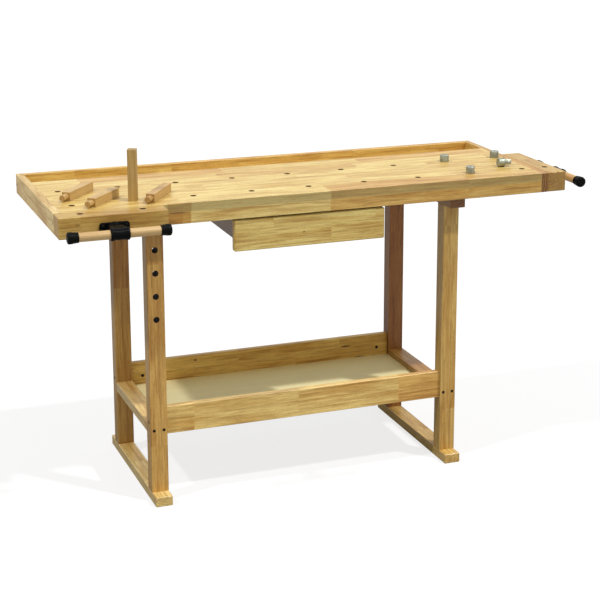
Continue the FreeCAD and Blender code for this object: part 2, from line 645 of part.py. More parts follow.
top_screws = []
TOP_SCREW_ROWS = (("front", "foot_setback + leg_front_inset / 2", "front_edge_strip"),
                  ("middle", f"{SLAB_BACK} - tray_strip_width / 2", "tray_side_strip"),
                  ("back", "bench_depth - back_rail_thickness / 2", "back_rail"))
TOP_SHANK = f"({STRIP_HEIGHT} / 2 + foot_height - wood_screw_head_height - bolt_recess)"
named = {item.Label: item for item in finished}
for side, leg_x in (("left", LEFT_LEG), ("right", RIGHT_LEG)):
    bearer = named[f"{side}_bearer"]
    middle = f"{leg_x} + leg_width / 2"
    for name, row_y, target in TOP_SCREW_ROWS:
        bearer_spot = [("leg_width / 2", f"{row_y} - foot_setback")]
        drill(bearer, "XY_Plane", bearer_spot, SHANK_BORE)
        drill(bearer, "XY_Plane", bearer_spot, HEAD_BORE, "0", RECESS)
        if name == "front":
            start_y = "0"
        elif name == "middle":
            start_y = f"({SLAB_BACK} - tray_strip_width)"
        else:
            start_y = "(bench_depth - back_rail_thickness)"
        drill(named[target], "XY_Plane", [(f"{middle} - end_board_thickness", f"{row_y} - {start_y}")],
              SHANK_BORE, "0", f"{STRIP_HEIGHT} / 2")
        top_screws.append(fastener(f"top_screw_{side}_{name}", HEAD, ("wood_screw_radius", TOP_SHANK),
                                   (middle, row_y, f"{LEG_TOP} + bolt_recess"), UP))
group("top_screws", top_screws)

# Screws through the end boards into the ends of the back rail and of the front strip
END_SHANK = "(wood_screw_length - end_board_thickness)"
end_screws = []
END_ROWS = (("front", "end_screw_setback", "front_edge_strip", "end_screw_setback"),
            ("back", "bench_depth - back_rail_thickness / 2", "back_rail", "back_rail_thickness / 2"))
END_RISE = f"({STRIP_HEIGHT} - end_screw_drop)"
END_LEVEL = f"({UNDER} + {END_RISE})"
for name, row_y, target, local_y in END_ROWS:
    level = [(row_y, END_RISE)]
    drill(left_board, "YZ_Plane", level, SHANK_BORE)
    drill(left_board, "YZ_Plane", level, HEAD_BORE, "0", RECESS)
    drill(right_board, "YZ_Plane", level, SHANK_BORE)
    drill(right_board, "YZ_Plane", level, HEAD_BORE, "end_board_thickness", RECESS)
    local = [(local_y, END_RISE)]
    into_end = f"{RECESS} + {END_SHANK} - end_board_thickness"
    drill(named[target], "YZ_Plane", local, SHANK_BORE, "0", into_end)
    drill(named[target], "YZ_Plane", local, SHANK_BORE, f"{RIGHT_INNER} - end_board_thickness", into_end)
    end_screws.append(fastener(f"end_screw_left_{name}", HEAD, ("wood_screw_radius", END_SHANK),
                               ("bolt_recess", row_y, END_LEVEL), RIGHT))
    end_screws.append(fastener(f"end_screw_right_{name}", HEAD, ("wood_screw_radius", END_SHANK),
                               ("bench_length - bolt_recess", row_y, END_LEVEL), LEFT))
group("end_board_screws", end_screws)

# ---------------------------------------------------------------- the drawer

DRAWER_LEFT = "(bench_length / 2 - drawer_offset - drawer_width / 2)"
DRAWER_TOP = f"({UNDER} - drawer_side_gap)"
SIDE_UNDER = f"({DRAWER_TOP} - drawer_side_height)"
DRAWER_BACK_OF_FRONT = "(drawer_front_setback + drawer_front_thickness)"
INSIDE_LEFT = f"({DRAWER_LEFT} + drawer_side_inset + drawer_board)"
INSIDE_WIDTH = "(drawer_width - 2 * drawer_side_inset - 2 * drawer_board)"
BOTTOM_LEVEL = f"({SIDE_UNDER} + drawer_bottom_lift)"
BOTTOM_TOP = f"({BOTTOM_LEVEL} + drawer_bottom_thickness)"
STRIP_UNDER = f"({DRAWER_TOP} - slide_strip_height)"
LIP_TOP = f"({STRIP_UNDER} - slide_gap)"
LIP_UNDER = f"({LIP_TOP} - runner_lip_height)"
DRAWER_GROOVE = "(drawer_board / 3)"

drawer_front = board("drawer_front",
                     (DRAWER_LEFT, "drawer_front_setback", f"{UNDER} - drawer_gap - drawer_front_height"),
                     ("drawer_width", "drawer_front_thickness", "drawer_front_height"), eased="jaw_rounding")
FRONT_LOCAL = f"({UNDER} - drawer_gap - drawer_front_height)"
trench(drawer_front, "XZ_Plane",
       (f"{INSIDE_LEFT} - {DRAWER_LEFT} - {DRAWER_GROOVE}", f"{BOTTOM_LEVEL} - {FRONT_LOCAL}"),
       (f"{INSIDE_LEFT} - {DRAWER_LEFT} + {INSIDE_WIDTH} + {DRAWER_GROOVE}", f"{BOTTOM_TOP} - {FRONT_LOCAL}"),
       "-drawer_front_thickness", DRAWER_GROOVE)

side_left = board("drawer_left_side",
                  (f"{DRAWER_LEFT} + drawer_side_inset", DRAWER_BACK_OF_FRONT, SIDE_UNDER),
                  ("drawer_board", "drawer_length", "drawer_side_height"), eased=None)
trench(side_left, "XZ_Plane", (f"drawer_board - {DRAWER_GROOVE}", "drawer_bottom_lift"),
       ("drawer_board", "drawer_bottom_lift + drawer_bottom_thickness"))
side_right = board("drawer_right_side",
                   (f"{INSIDE_LEFT} + {INSIDE_WIDTH}", DRAWER_BACK_OF_FRONT, SIDE_UNDER),
                   ("drawer_board", "drawer_length", "drawer_side_height"), eased=None)
trench(side_right, "XZ_Plane", ("0", "drawer_bottom_lift"),
       (DRAWER_GROOVE, "drawer_bottom_lift + drawer_bottom_thickness"))
board("drawer_bottom",
      (f"{INSIDE_LEFT} - {DRAWER_GROOVE}", f"{DRAWER_BACK_OF_FRONT} - {DRAWER_GROOVE}", BOTTOM_LEVEL),
      (f"{INSIDE_WIDTH} + 2 * {DRAWER_GROOVE}", f"drawer_length + {DRAWER_GROOVE}",
       "drawer_bottom_thickness"), eased=None)
board("drawer_back",
      (INSIDE_LEFT, f"{DRAWER_BACK_OF_FRONT} + drawer_length - drawer_board", BOTTOM_TOP),
      (INSIDE_WIDTH, "drawer_board", f"{LIP_UNDER} - runner_gap - {BOTTOM_TOP}"), eased=None)

# Strips inside the drawer sides ride on the lips of two runners that hang from the slab
strips = []
RUNNER_LENGTH = f"{SLAB_BACK} - tray_strip_width - front_strip_width - 2 * runner_gap"
RUNNER_FRONT = "(front_strip_width + runner_gap)"
runners = []
for side in ("left", "right"):
    strip = doc.addObject("Part::Box", f"slide_strip_{side}")
    strip.setExpression("Length", formula("slide_strip_width"))
    strip.setExpression("Width", formula("drawer_length - drawer_board"))
    strip.setExpression("Height", formula("slide_strip_height"))
    web = doc.addObject("Part::Box", f"runner_web_{side}")
    web.setExpression("Length", formula("runner_web_width"))
    web.setExpression("Width", formula(RUNNER_LENGTH))
    web.setExpression("Height", formula(f"{SLAB_UNDER} - {LIP_UNDER}"))
    lip = doc.addObject("Part::Box", f"runner_lip_{side}")
    lip.setExpression("Length", formula("slide_strip_width + runner_web_width"))
    lip.setExpression("Width", formula(RUNNER_LENGTH))
    lip.setExpression("Height", formula("runner_lip_height"))
    if side == "left":
        strip_x = INSIDE_LEFT
        web_x = f"{INSIDE_LEFT} + slide_strip_width + runner_gap"
        lip_x = f"{INSIDE_LEFT} + runner_gap"
    else:
        strip_x = f"{INSIDE_LEFT} + {INSIDE_WIDTH} - slide_strip_width"
        web_x = f"{strip_x} - runner_gap - runner_web_width"
        lip_x = web_x
    place(strip, (strip_x, DRAWER_BACK_OF_FRONT, STRIP_UNDER))
    place(web, (web_x, RUNNER_FRONT, LIP_UNDER))
    place(lip, (lip_x, RUNNER_FRONT, LIP_UNDER))
    runner = doc.addObject("Part::Fuse", f"runner_{side}")
    runner.Base = web
    runner.Tool = lip
    runner.Refine = True
    strips.append(strip)
    runners.append(runner)
group("drawer_slide_strips", strips)
group("drawer_runners", runners)

# ---------------------------------------------------------------- the vises

# Bores for the front vise run along Y through the front strip, those for the tail vise run
# along X through the right end board and the right end strip.
BORE_LEVEL = f"({VISE_AXIS} - {UNDER})"
ROD_SIDES = ("-rod_offset", "+rod_offset")
SCREW_BORE = "screw_radius + wood_play"
ROD_BORE = "rod_radius + wood_play"
drill(front_strip, "XZ_Plane", [(f"{VISE_MIDDLE} - end_board_thickness", BORE_LEVEL)], SCREW_BORE)
drill(front_strip, "XZ_Plane",
      [(f"{VISE_MIDDLE} - end_board_thickness {offset}", BORE_LEVEL) for offset in ROD_SIDES], ROD_BORE)
for timber, start in ((right_board, "0"), (right_strip, "front_strip_width")):
    drill(timber, "YZ_Plane", [(f"{VISE_MIDDLE} - {start}", BORE_LEVEL)], SCREW_BORE)
    drill(timber, "YZ_Plane",
          [(f"{VISE_MIDDLE} - {start} {offset}", BORE_LEVEL) for offset in ROD_SIDES], ROD_BORE)

COLLAR_ROOM = "(collar_length + 2 * slide_gap)"
HALF_HANDLE = "(handle_length / 2)"
NECK_END = "(bracket_thickness + boss_height + slide_gap)"
CUT = " - neck_corner"
NECK_CORNERS = (("-", "-", CUT, ""), ("+", "-", CUT, ""), ("+", "-", "", CUT), ("+", "+", "", CUT),
                ("+", "+", CUT, ""), ("-", "+", CUT, ""), ("-", "+", "", CUT), ("-", "-", "", CUT))


def vise(name, spot, turn, nut_distance, handle_shift, hole_spots):
    """One complete vise.

    spot is where the screw axis meets the inner face of the closed jaw. In the vise's own frame
    Z points out of the bench along the screw, X runs along the jaw, and Y is up.
    """
    def local(text_x, text_y, text_z):
        """Three formulas in the vise's frame turned into a spot of the bench."""
        base = [f"({text})" for text in spot]
        for text, unit in ((text_x, Vector(1, 0, 0)), (text_y, Vector(0, 1, 0)), (text_z, Vector(0, 0, 1))):
            if text == "0":
                continue
            way = turn.multVec(unit)
            for index, part in enumerate(way):
                if abs(part) > 0.5:
                    base[index] += f" + ({text}) * ({round(part)})"
        return base

    out = turn.multVec(Vector(0, 0, 1))
    along = turn.multVec(Vector(1, 0, 0))

    # Wooden jaw, with its lower edge level with the rest of the top
    jaw = doc.addObject("PartDesign::Body", f"{name}_jaw")
    sketch = sketch_on(jaw, "XY_Plane")
    jaw_low = f"-({VISE_AXIS} - {UNDER})"
    rectangle(sketch, ("-jaw_length / 2", jaw_low), ("jaw_length / 2", f"{jaw_low} + edge_height"))
    pad(jaw, sketch, "jaw_thickness")
    ease_all(jaw, "jaw_rounding", "Fillet")
    drill(jaw, "XY_Plane", [("0", "0")], SCREW_BORE)
    drill(jaw, "XY_Plane", [("0", "0")], "collar_radius + wood_play", "jaw_thickness", COLLAR_ROOM)
    drill(jaw, "XY_Plane", [(offset, "0") for offset in ROD_SIDES],
          "rod_radius + fastener_play", "0", "rod_socket")
    screw_spots = [(f"{sign_x}bracket_screw_side", f"{sign_y}bracket_screw_rise")
                   for sign_x in ("-", "+") for sign_y in ("-", "+")]
    drill(jaw, "XY_Plane", screw_spots, "bracket_screw_radius + fastener_play", "jaw_thickness",
          "bracket_screw_length - bracket_thickness")
    drill(jaw, "XZ_Plane", hole_spots, "dog_hole_radius")
    place(jaw, local("0", "0", "0"), turn)
    finish(jaw, f"{name}_jaw")

    # Cast bracket on the face of the jaw, with a boss around the screw
    bracket = doc.addObject("PartDesign::Body", f"{name}_bracket")
    sketch = sketch_on(bracket, "XY_Plane")
    rectangle(sketch, ("-bracket_length / 2", "-bracket_height / 2"),
              ("bracket_length / 2", "bracket_height / 2"))
    pad(bracket, sketch, "bracket_thickness")
    ease(bracket, "bracket_corner", (("left", "front"), ("left", "back"),
                                     ("right", "front"), ("right", "back")), "Fillet")
    sketch = sketch_on(bracket, "XY_Plane")
    circles(sketch, [("0", "0")], "boss_radius")
    pad(bracket, sketch, "bracket_thickness + boss_height")
    drill(bracket, "XY_Plane", [("0", "0")], "screw_radius + running_play")
    drill(bracket, "XY_Plane", screw_spots, "bracket_screw_radius + fastener_play")
    place(bracket, local("0", "0", "jaw_thickness"), turn)
    finish(bracket, f"{name}_bracket")
    face_screws = []
    for number, (screw_x, screw_y) in enumerate(screw_spots):
        head_face = "jaw_thickness + bracket_thickness + bracket_screw_head_height"
        face_screws.append(fastener(f"{name}_face_screw_{number}",
                                    ("bracket_screw_head", "bracket_screw_head_height"),
                                    ("bracket_screw_radius", "bracket_screw_length - bolt_recess"),
                                    local(screw_x, screw_y, head_face), -out))
    group(f"{name}_bracket_screws", face_screws)

    # Guide rods fixed in the jaw, and the bar that ties their far ends together
    rods = []
    for side, offset in (("left", ROD_SIDES[0]), ("right", ROD_SIDES[1])):
        rods.append(cylinder(f"{name}_rod_{side}", "rod_radius", "rod_socket + rod_reach",
                             local(offset, "0", "rod_socket"), -out))
    group(f"{name}_guide_rods", rods)
    tie = doc.addObject("PartDesign::Body", f"{name}_tie_bar")
    sketch = sketch_on(tie, "XY_Plane")
    rectangle(sketch, ("-rod_offset - rod_radius - tie_margin", "-steel_height / 2"),
              ("rod_offset + rod_radius + tie_margin", "steel_height / 2"))
    pad(tie, sketch, "tie_thickness")
    ease_all(tie, "small_edge")
    drill(tie, "XY_Plane", [(offset, "0") for offset in ROD_SIDES], "rod_radius + fastener_play")
    place(tie, local("0", "0", "-rod_reach"), turn)
    finish(tie, f"{name}_tie_bar")

    # Nut plate on the inside of the bench, which also guides the rods
    plate = doc.addObject("PartDesign::Body", f"{name}_nut_plate")
    sketch = sketch_on(plate, "XY_Plane")
    rectangle(sketch, ("-nut_plate_length / 2", "-steel_height / 2"),
              ("nut_plate_length / 2", "steel_height / 2"))
    pad(plate, sketch, "nut_plate_thickness", backwards=True)
    sketch = sketch_on(plate, "XY_Plane")
    rectangle(sketch, ("-nut_width / 2", "-steel_height / 2"), ("nut_width / 2", "steel_height / 2"))
    pad(plate, sketch, "nut_plate_thickness + nut_length", backwards=True)
    drill(plate, "XY_Plane", [("0", "0")], "screw_radius + running_play")
    drill(plate, "XY_Plane", [(offset, "0") for offset in ROD_SIDES], "rod_radius + running_play")
    place(plate, local("0", "0", f"-({nut_distance})"), turn)

    # Screw with its thrust collar, running from the hub to the far end
    collar_out = "(jaw_thickness - slide_gap)"
    screw_end = "(jaw_thickness + hub_standoff - handle_radius - handle_play - hub_web)"
    turned(f"{name}_screw",
           (("0", "-screw_reach"), ("screw_radius - screw_tip", "-screw_reach"),
            ("screw_radius", "-screw_reach + screw_tip"),
            ("screw_radius", f"{collar_out} - collar_length"),
            ("collar_radius", f"{collar_out} - collar_length"),
            ("collar_radius", collar_out), ("screw_radius", collar_out),
            ("screw_radius", screw_end), ("0", screw_end)),
           local("0", "0", "0"), turn)

    # Hub: a barrel around the handle with a neck that is pinned on the screw
    hub = doc.addObject("PartDesign::Body", f"{name}_hub")
    sketch = sketch_on(hub, "YZ_Plane", "-hub_length / 2")
    circles(sketch, [("0", "0")], "hub_radius")
    pad(hub, sketch, "hub_length")
    ease_all(hub, "jaw_rounding", "Fillet")
    sketch = sketch_on(hub, "XY_Plane")
    outline(sketch, [(f"{side}(neck_width / 2{trim_x})", f"{level}(neck_height / 2{trim_y})")
                     for side, level, trim_x, trim_y in NECK_CORNERS])
    pad(hub, sketch, f"hub_standoff - {NECK_END}", backwards=True)
    drill(hub, "YZ_Plane", [("0", "0")], "handle_radius + handle_play")
    drill(hub, "XY_Plane", [("0", "0")], "screw_radius + fastener_play",
          f"-(hub_standoff - {NECK_END})",
          f"hub_standoff - {NECK_END} - handle_radius - handle_play - hub_web + fastener_play")
    place(hub, local("0", "0", "jaw_thickness + hub_standoff"), turn)
    finish(hub, f"{name}_hub")

    # Wooden handle with a rubber cap on each end
    axis_turn = Rotation(Vector(0, 0, 1), along)
    bar_half = f"({HALF_HANDLE} - cap_end)"
    turned(f"{name}_handle",
           (("0", f"-{bar_half}"), ("handle_radius - small_edge", f"-{bar_half}"),
            ("handle_radius", f"-{bar_half} + small_edge"),
            ("handle_radius", f"{bar_half} - small_edge"),
            ("handle_radius - small_edge", bar_half), ("0", bar_half)),
           local(handle_shift, "0", "jaw_thickness + hub_standoff"), axis_turn)
    caps = []
    for end, sign in (("left", "-"), ("right", "+")):
        cap = doc.addObject("PartDesign::Body", f"{name}_cap_{end}")
        sketch = sketch_on(cap, "XZ_Plane")
        cap_bore = "handle_radius + fastener_play"
        outline(sketch, ((cap_bore, "0"), ("cap_radius - small_edge", "0"), ("cap_radius", "small_edge"),
                         ("cap_radius", "cap_length - cap_rounding"),
                         ("cap_radius - cap_rounding * 0.3", "cap_length - cap_rounding * 0.3"),
                         ("cap_radius - cap_rounding", "cap_length"),
                         ("0", "cap_length"), ("0", "cap_length - cap_end"),
                         (cap_bore, "cap_length - cap_end")))
        feature = cap.newObject("PartDesign::Revolution", f"{name}_cap_{end}_turning")
        feature.Profile = sketch
        feature.ReferenceAxis = (sketch, ["V_Axis"])
        feature.Angle = 360.0
        cap.Tip = feature
        facing = along if sign == "+" else -along
        place(cap, local(f"({handle_shift}) {sign} ({HALF_HANDLE} - cap_length)", "0",
                         "jaw_thickness + hub_standoff"), Rotation(Vector(0, 0, 1), facing))
        caps.append(cap)
    group(f"{name}_handle_caps", caps)
    return plate


# Front vise: its Z points to -Y, its X to +X and its Y up. Tail vise: its Z points to +X and its X to +Y.
FRONT_TURN = Rotation(Vector(1, 0, 0), Vector(0, 0, 1), Vector(0, -1, 0), "ZXY")
TAIL_TURN = Rotation(Vector(0, 1, 0), Vector(0, 0, 1), Vector(1, 0, 0), "ZXY")
front_hole_spots = [(f"{hole_column(index)} - {VISE_MIDDLE}", "jaw_hole_setback")
                    for index in FRONT_JAW_HOLES]
front_plate = vise("front_vise", (VISE_MIDDLE, "0", VISE_AXIS), FRONT_TURN,
                   "front_strip_width", "0", front_hole_spots)
tail_plate = vise("tail_vise", ("bench_length", VISE_MIDDLE, VISE_AXIS), TAIL_TURN,
                  "end_board_thickness + end_strip_width", "-tail_handle_shift",
                  [(f"dog_row_front - {VISE_MIDDLE}", "jaw_thickness / 2")])
group("vise_nut_plates", [front_plate, tail_plate])

# ---------------------------------------------------------------- pegs and dogs

LYING_PEGS = (("one", 62, 133, 51), ("two", 109, 39, 50), ("three", 266, 34.5, 56))
STANDING_TURN = -22


def peg(label, spot, rotation):
    """A square wooden peg with a round tenon below its shoulder."""
    body = doc.addObject("PartDesign::Body", label)
    sketch = sketch_on(body, "XY_Plane")
    rectangle(sketch, ("-peg_width / 2", "-peg_width / 2"), ("peg_width / 2", "peg_width / 2"))
    pad(body, sketch, "peg_length")
    ease_all(body, "small_edge")
    sketch = sketch_on(body, "XY_Plane")
    circles(sketch, [("0", "0")], "tenon_radius")
    pad(body, sketch, "tenon_length", backwards=True)
    place(body, spot, rotation)
    return finish(body, label)


for number, peg_x, peg_y, angle in LYING_PEGS:
    lying = Rotation(Vector(0, 0, 1), angle) * Rotation(Vector(0, 1, 0), 90)
    peg(f"peg_{number}", (f"{peg_x}", f"{peg_y}", "work_height + peg_width / 2"), lying)
peg("peg_four", (hole_column(PEG_COLUMN), "dog_row_front", "work_height"),
    Rotation(Vector(0, 0, 1), STANDING_TURN))


def dog(label, spot, rotation):
    """A round metal bench dog with one flat on its head."""
    body = turned(label,
                  (("0", "-shank_length"), ("shank_radius - small_edge", "-shank_length"),
                   ("shank_radius", "-shank_length + small_edge"), ("shank_radius", "0"),
                   ("dog_head_radius - small_edge", "0"), ("dog_head_radius", "small_edge"),
                   ("dog_head_radius", "dog_head_height - small_edge"),
                   ("dog_head_radius - small_edge", "dog_head_height"), ("0", "dog_head_height")),
                  spot, rotation)
    trench(body, "XY_Plane", ("dog_head_radius - dog_flat_depth", "-dog_head_radius"),
           ("dog_head_radius + 1", "dog_head_radius"), "dog_head_height", "dog_head_height - small_edge * 2")
    return body


DOG_FLATS = (("one", NEXT_TO_LAST, "dog_row_back", 0), ("two", NEXT_TO_LAST, "dog_row_front", -35),
             ("three", LAST, "dog_row_back", -10))
for number, column, dog_row, angle in DOG_FLATS:
    dog(f"dog_{number}", (hole_column(column), dog_row, "work_height"), Rotation(Vector(0, 0, 1), angle))
LYING_DOG_BEFORE_LAST = 34
LYING_DOG_Y = 122
LYING_DOG_TURN = 175
lying = Rotation(Vector(0, 0, 1), LYING_DOG_TURN) * Rotation(Vector(0, 1, 0), 90)
dog("dog_four", (f"{hole_column(LAST)} - {LYING_DOG_BEFORE_LAST}", f"{LYING_DOG_Y}",
                 "work_height + dog_head_radius + slide_gap"),
    lying * Rotation(Vector(0, 0, 1), 200))

# ---------------------------------------------------------------- check and write

doc.recompute()
for item in doc.Objects:
    if "Invalid" in item.State or "Error" in item.State:
        raise RuntimeError(f"{item.Name} ({item.Label}) did not recompute")
for item in finished:
    if item.Shape.isNull() or not item.Shape.isValid():
        raise RuntimeError(f"{item.Label} has no valid shape")

os.makedirs("parts", exist_ok=True)
for item in finished:
    item.Shape.exportStep(os.path.join("parts", f"{item.Label}.step"))
print(len(finished), "sub-parts written")
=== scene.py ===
import json
import math

import bmesh
import bpy
from mathutils import Matrix, Vector


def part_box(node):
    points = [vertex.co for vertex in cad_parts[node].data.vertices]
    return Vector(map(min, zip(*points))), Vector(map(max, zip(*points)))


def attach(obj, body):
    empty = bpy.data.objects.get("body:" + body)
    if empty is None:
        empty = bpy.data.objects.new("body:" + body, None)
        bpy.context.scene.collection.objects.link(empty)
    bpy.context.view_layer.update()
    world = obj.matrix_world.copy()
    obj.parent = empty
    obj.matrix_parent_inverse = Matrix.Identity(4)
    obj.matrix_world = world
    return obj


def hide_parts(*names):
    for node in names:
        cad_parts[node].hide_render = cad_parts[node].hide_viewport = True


# A lacquered rubberwood workbench with two black cast vises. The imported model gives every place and
# every body. Materials work in millimetres, counted along the grain of each board.

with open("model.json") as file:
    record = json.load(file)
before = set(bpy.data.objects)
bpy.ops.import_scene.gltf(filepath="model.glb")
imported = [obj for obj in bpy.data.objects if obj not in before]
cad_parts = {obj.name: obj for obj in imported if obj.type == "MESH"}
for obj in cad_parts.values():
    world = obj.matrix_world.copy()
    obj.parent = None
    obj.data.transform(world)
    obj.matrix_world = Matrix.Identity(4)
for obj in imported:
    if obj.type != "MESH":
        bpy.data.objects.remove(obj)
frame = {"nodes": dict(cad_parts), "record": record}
nodes = frame["nodes"]
body_of_node = {node: body for body, members in frame["record"]["behaviour"]["bodies"].items()
                for node in members}
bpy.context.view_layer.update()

MM = 0.001
X, Y, Z = Vector((1, 0, 0)), Vector((0, 1, 0)), Vector((0, 0, 1))
UNTURNED = Matrix.Identity(3)


def linear(colour):
    """An sRGB hex colour as the linear RGBA that shaders take."""
    parts = [int(colour[start:start + 2], 16) / 255 for start in (1, 3, 5)]
    return [part / 12.92 if part <= 0.04045 else ((part + 0.055) / 1.055) ** 2.4 for part in parts] + [1.0]


def shaded(colour, factors):
    """A linear colour, each channel darkened by its own factor."""
    return [channel * factor for channel, factor in zip(colour, factors)] + [1.0]


def add(tree, kind, inputs=(), **settings):
    """Add a node, set its properties, and fill its inputs, given by name or else in their own order.

    An input is a value, a socket, or a whole node, which stands for its first output in use.
    """
    node = tree.nodes.new(kind)
    for name, value in settings.items():
        setattr(node, name, value)
    for name, value in inputs.items() if isinstance(inputs, dict) else enumerate(inputs):
        if isinstance(value, bpy.types.Node):
            value = next(socket for socket in value.outputs if socket.enabled)
        if isinstance(value, bpy.types.NodeSocket):
            tree.links.new(value, node.inputs[name])
        else:
            node.inputs[name].default_value = value
    return node


def new_material(name):
    """An empty material and its node tree."""
    material = bpy.data.materials.new(name)
    material.use_nodes = True
    material.node_tree.nodes.clear()
    return material, material.node_tree


def new_object(name, data):
    """An object of this data in the scene."""
    made = bpy.data.objects.new(name, data)
    bpy.context.collection.objects.link(made)
    return made


def turned_to(grain, width):
    """The rotation whose X runs along the grain and whose Y runs across the width."""
    return Matrix((grain, width, grain.cross(width))).transposed()


def millimetres(tree, centre=(0, 0, 0), turn=UNTURNED):
    """Object coordinates in millimetres from a centre, turned into a piece's own directions."""
    place = add(tree, "ShaderNodeTexCoord").outputs["Object"]
    return add(tree, "ShaderNodeMapping", (place, centre, turn.to_euler(), (MM, MM, MM)),
               vector_type="TEXTURE")


def noise(tree, place, size, detail=2.0, stretch=(1, 1, 1)):
    """Noise whose features are about size mm, drawn out by stretch."""
    scaled = add(tree, "ShaderNodeVectorMath", (place, [1 / (size * pull) for pull in stretch]),
                 operation="MULTIPLY")
    return add(tree, "ShaderNodeTexNoise", {"Vector": scaled, "Scale": 1.0, "Detail": detail})


# -------------------------------- wood

# Noise along the grain: length and width in mm, and detail. Fibres and pores are drawn coarser than
# life, so that they show.
PATTERNS = {"streak": (170.0, 7.0, 3.0), "fibre": (45.0, 1.6, 2.0), "pore": (9.0, 0.55, 0.0),
            "patch": (190.0, 26.0, 3.0)}
# What darkens the wood, in order: from and to which noise, how strongly, and with which brown
LAYERS = (("patch", 0.42, 0.72, 0.75, "#DCC390"), ("streak", 0.48, 0.76, 0.8, "#C9B08A"),
          ("ring", 0.1, 1.0, 0.22, "#C9B08A"), ("fibre", 0.48, 0.80, 0.65, "#BFA579"),
          ("pore", 0.66, 0.76, 0.45, "#A98F68"))
BLOCK_JUMP = [90.0] * 3         # how far the noise moves on from one block to the next, at most
RING_GAP = 7.0                  # mm between growth rings
RING_WOBBLE, ARC_WOBBLE = 26.0, 12.0           # mm, on the faces and on the ends
PITH_DEPTH, PITH_SIDE = (120.0, 25.0), (140.0, -70.0)      # mm, the spread and the least value
FINGER_PITCH, FINGER_DEPTH = 5.0, 3.5          # mm, the zigzag of the finger joints between blocks
GLUE_LINE = 0.7                 # mm, the thin dark line between staves
BORE_RADIUS, BORE_EASE = 8.5, 0.15             # mm, of the dog holes and peg holes
# How much of red, green and blue is left, against a board's palest block
DEEP, WARM, HEART = (0.84, 0.74, 0.58), (0.82, 0.64, 0.44), (0.66, 0.47, 0.24)
GLUE, LATE_WOOD = [0.3] * 3, [0.45] * 3
BLOCK_SPREAD, REDDISH, GLUE_STRENGTH, ARC_STRENGTH = 0.62, 0.8, 0.45, 0.68
KNOT_BROWN = "#4A2C14"


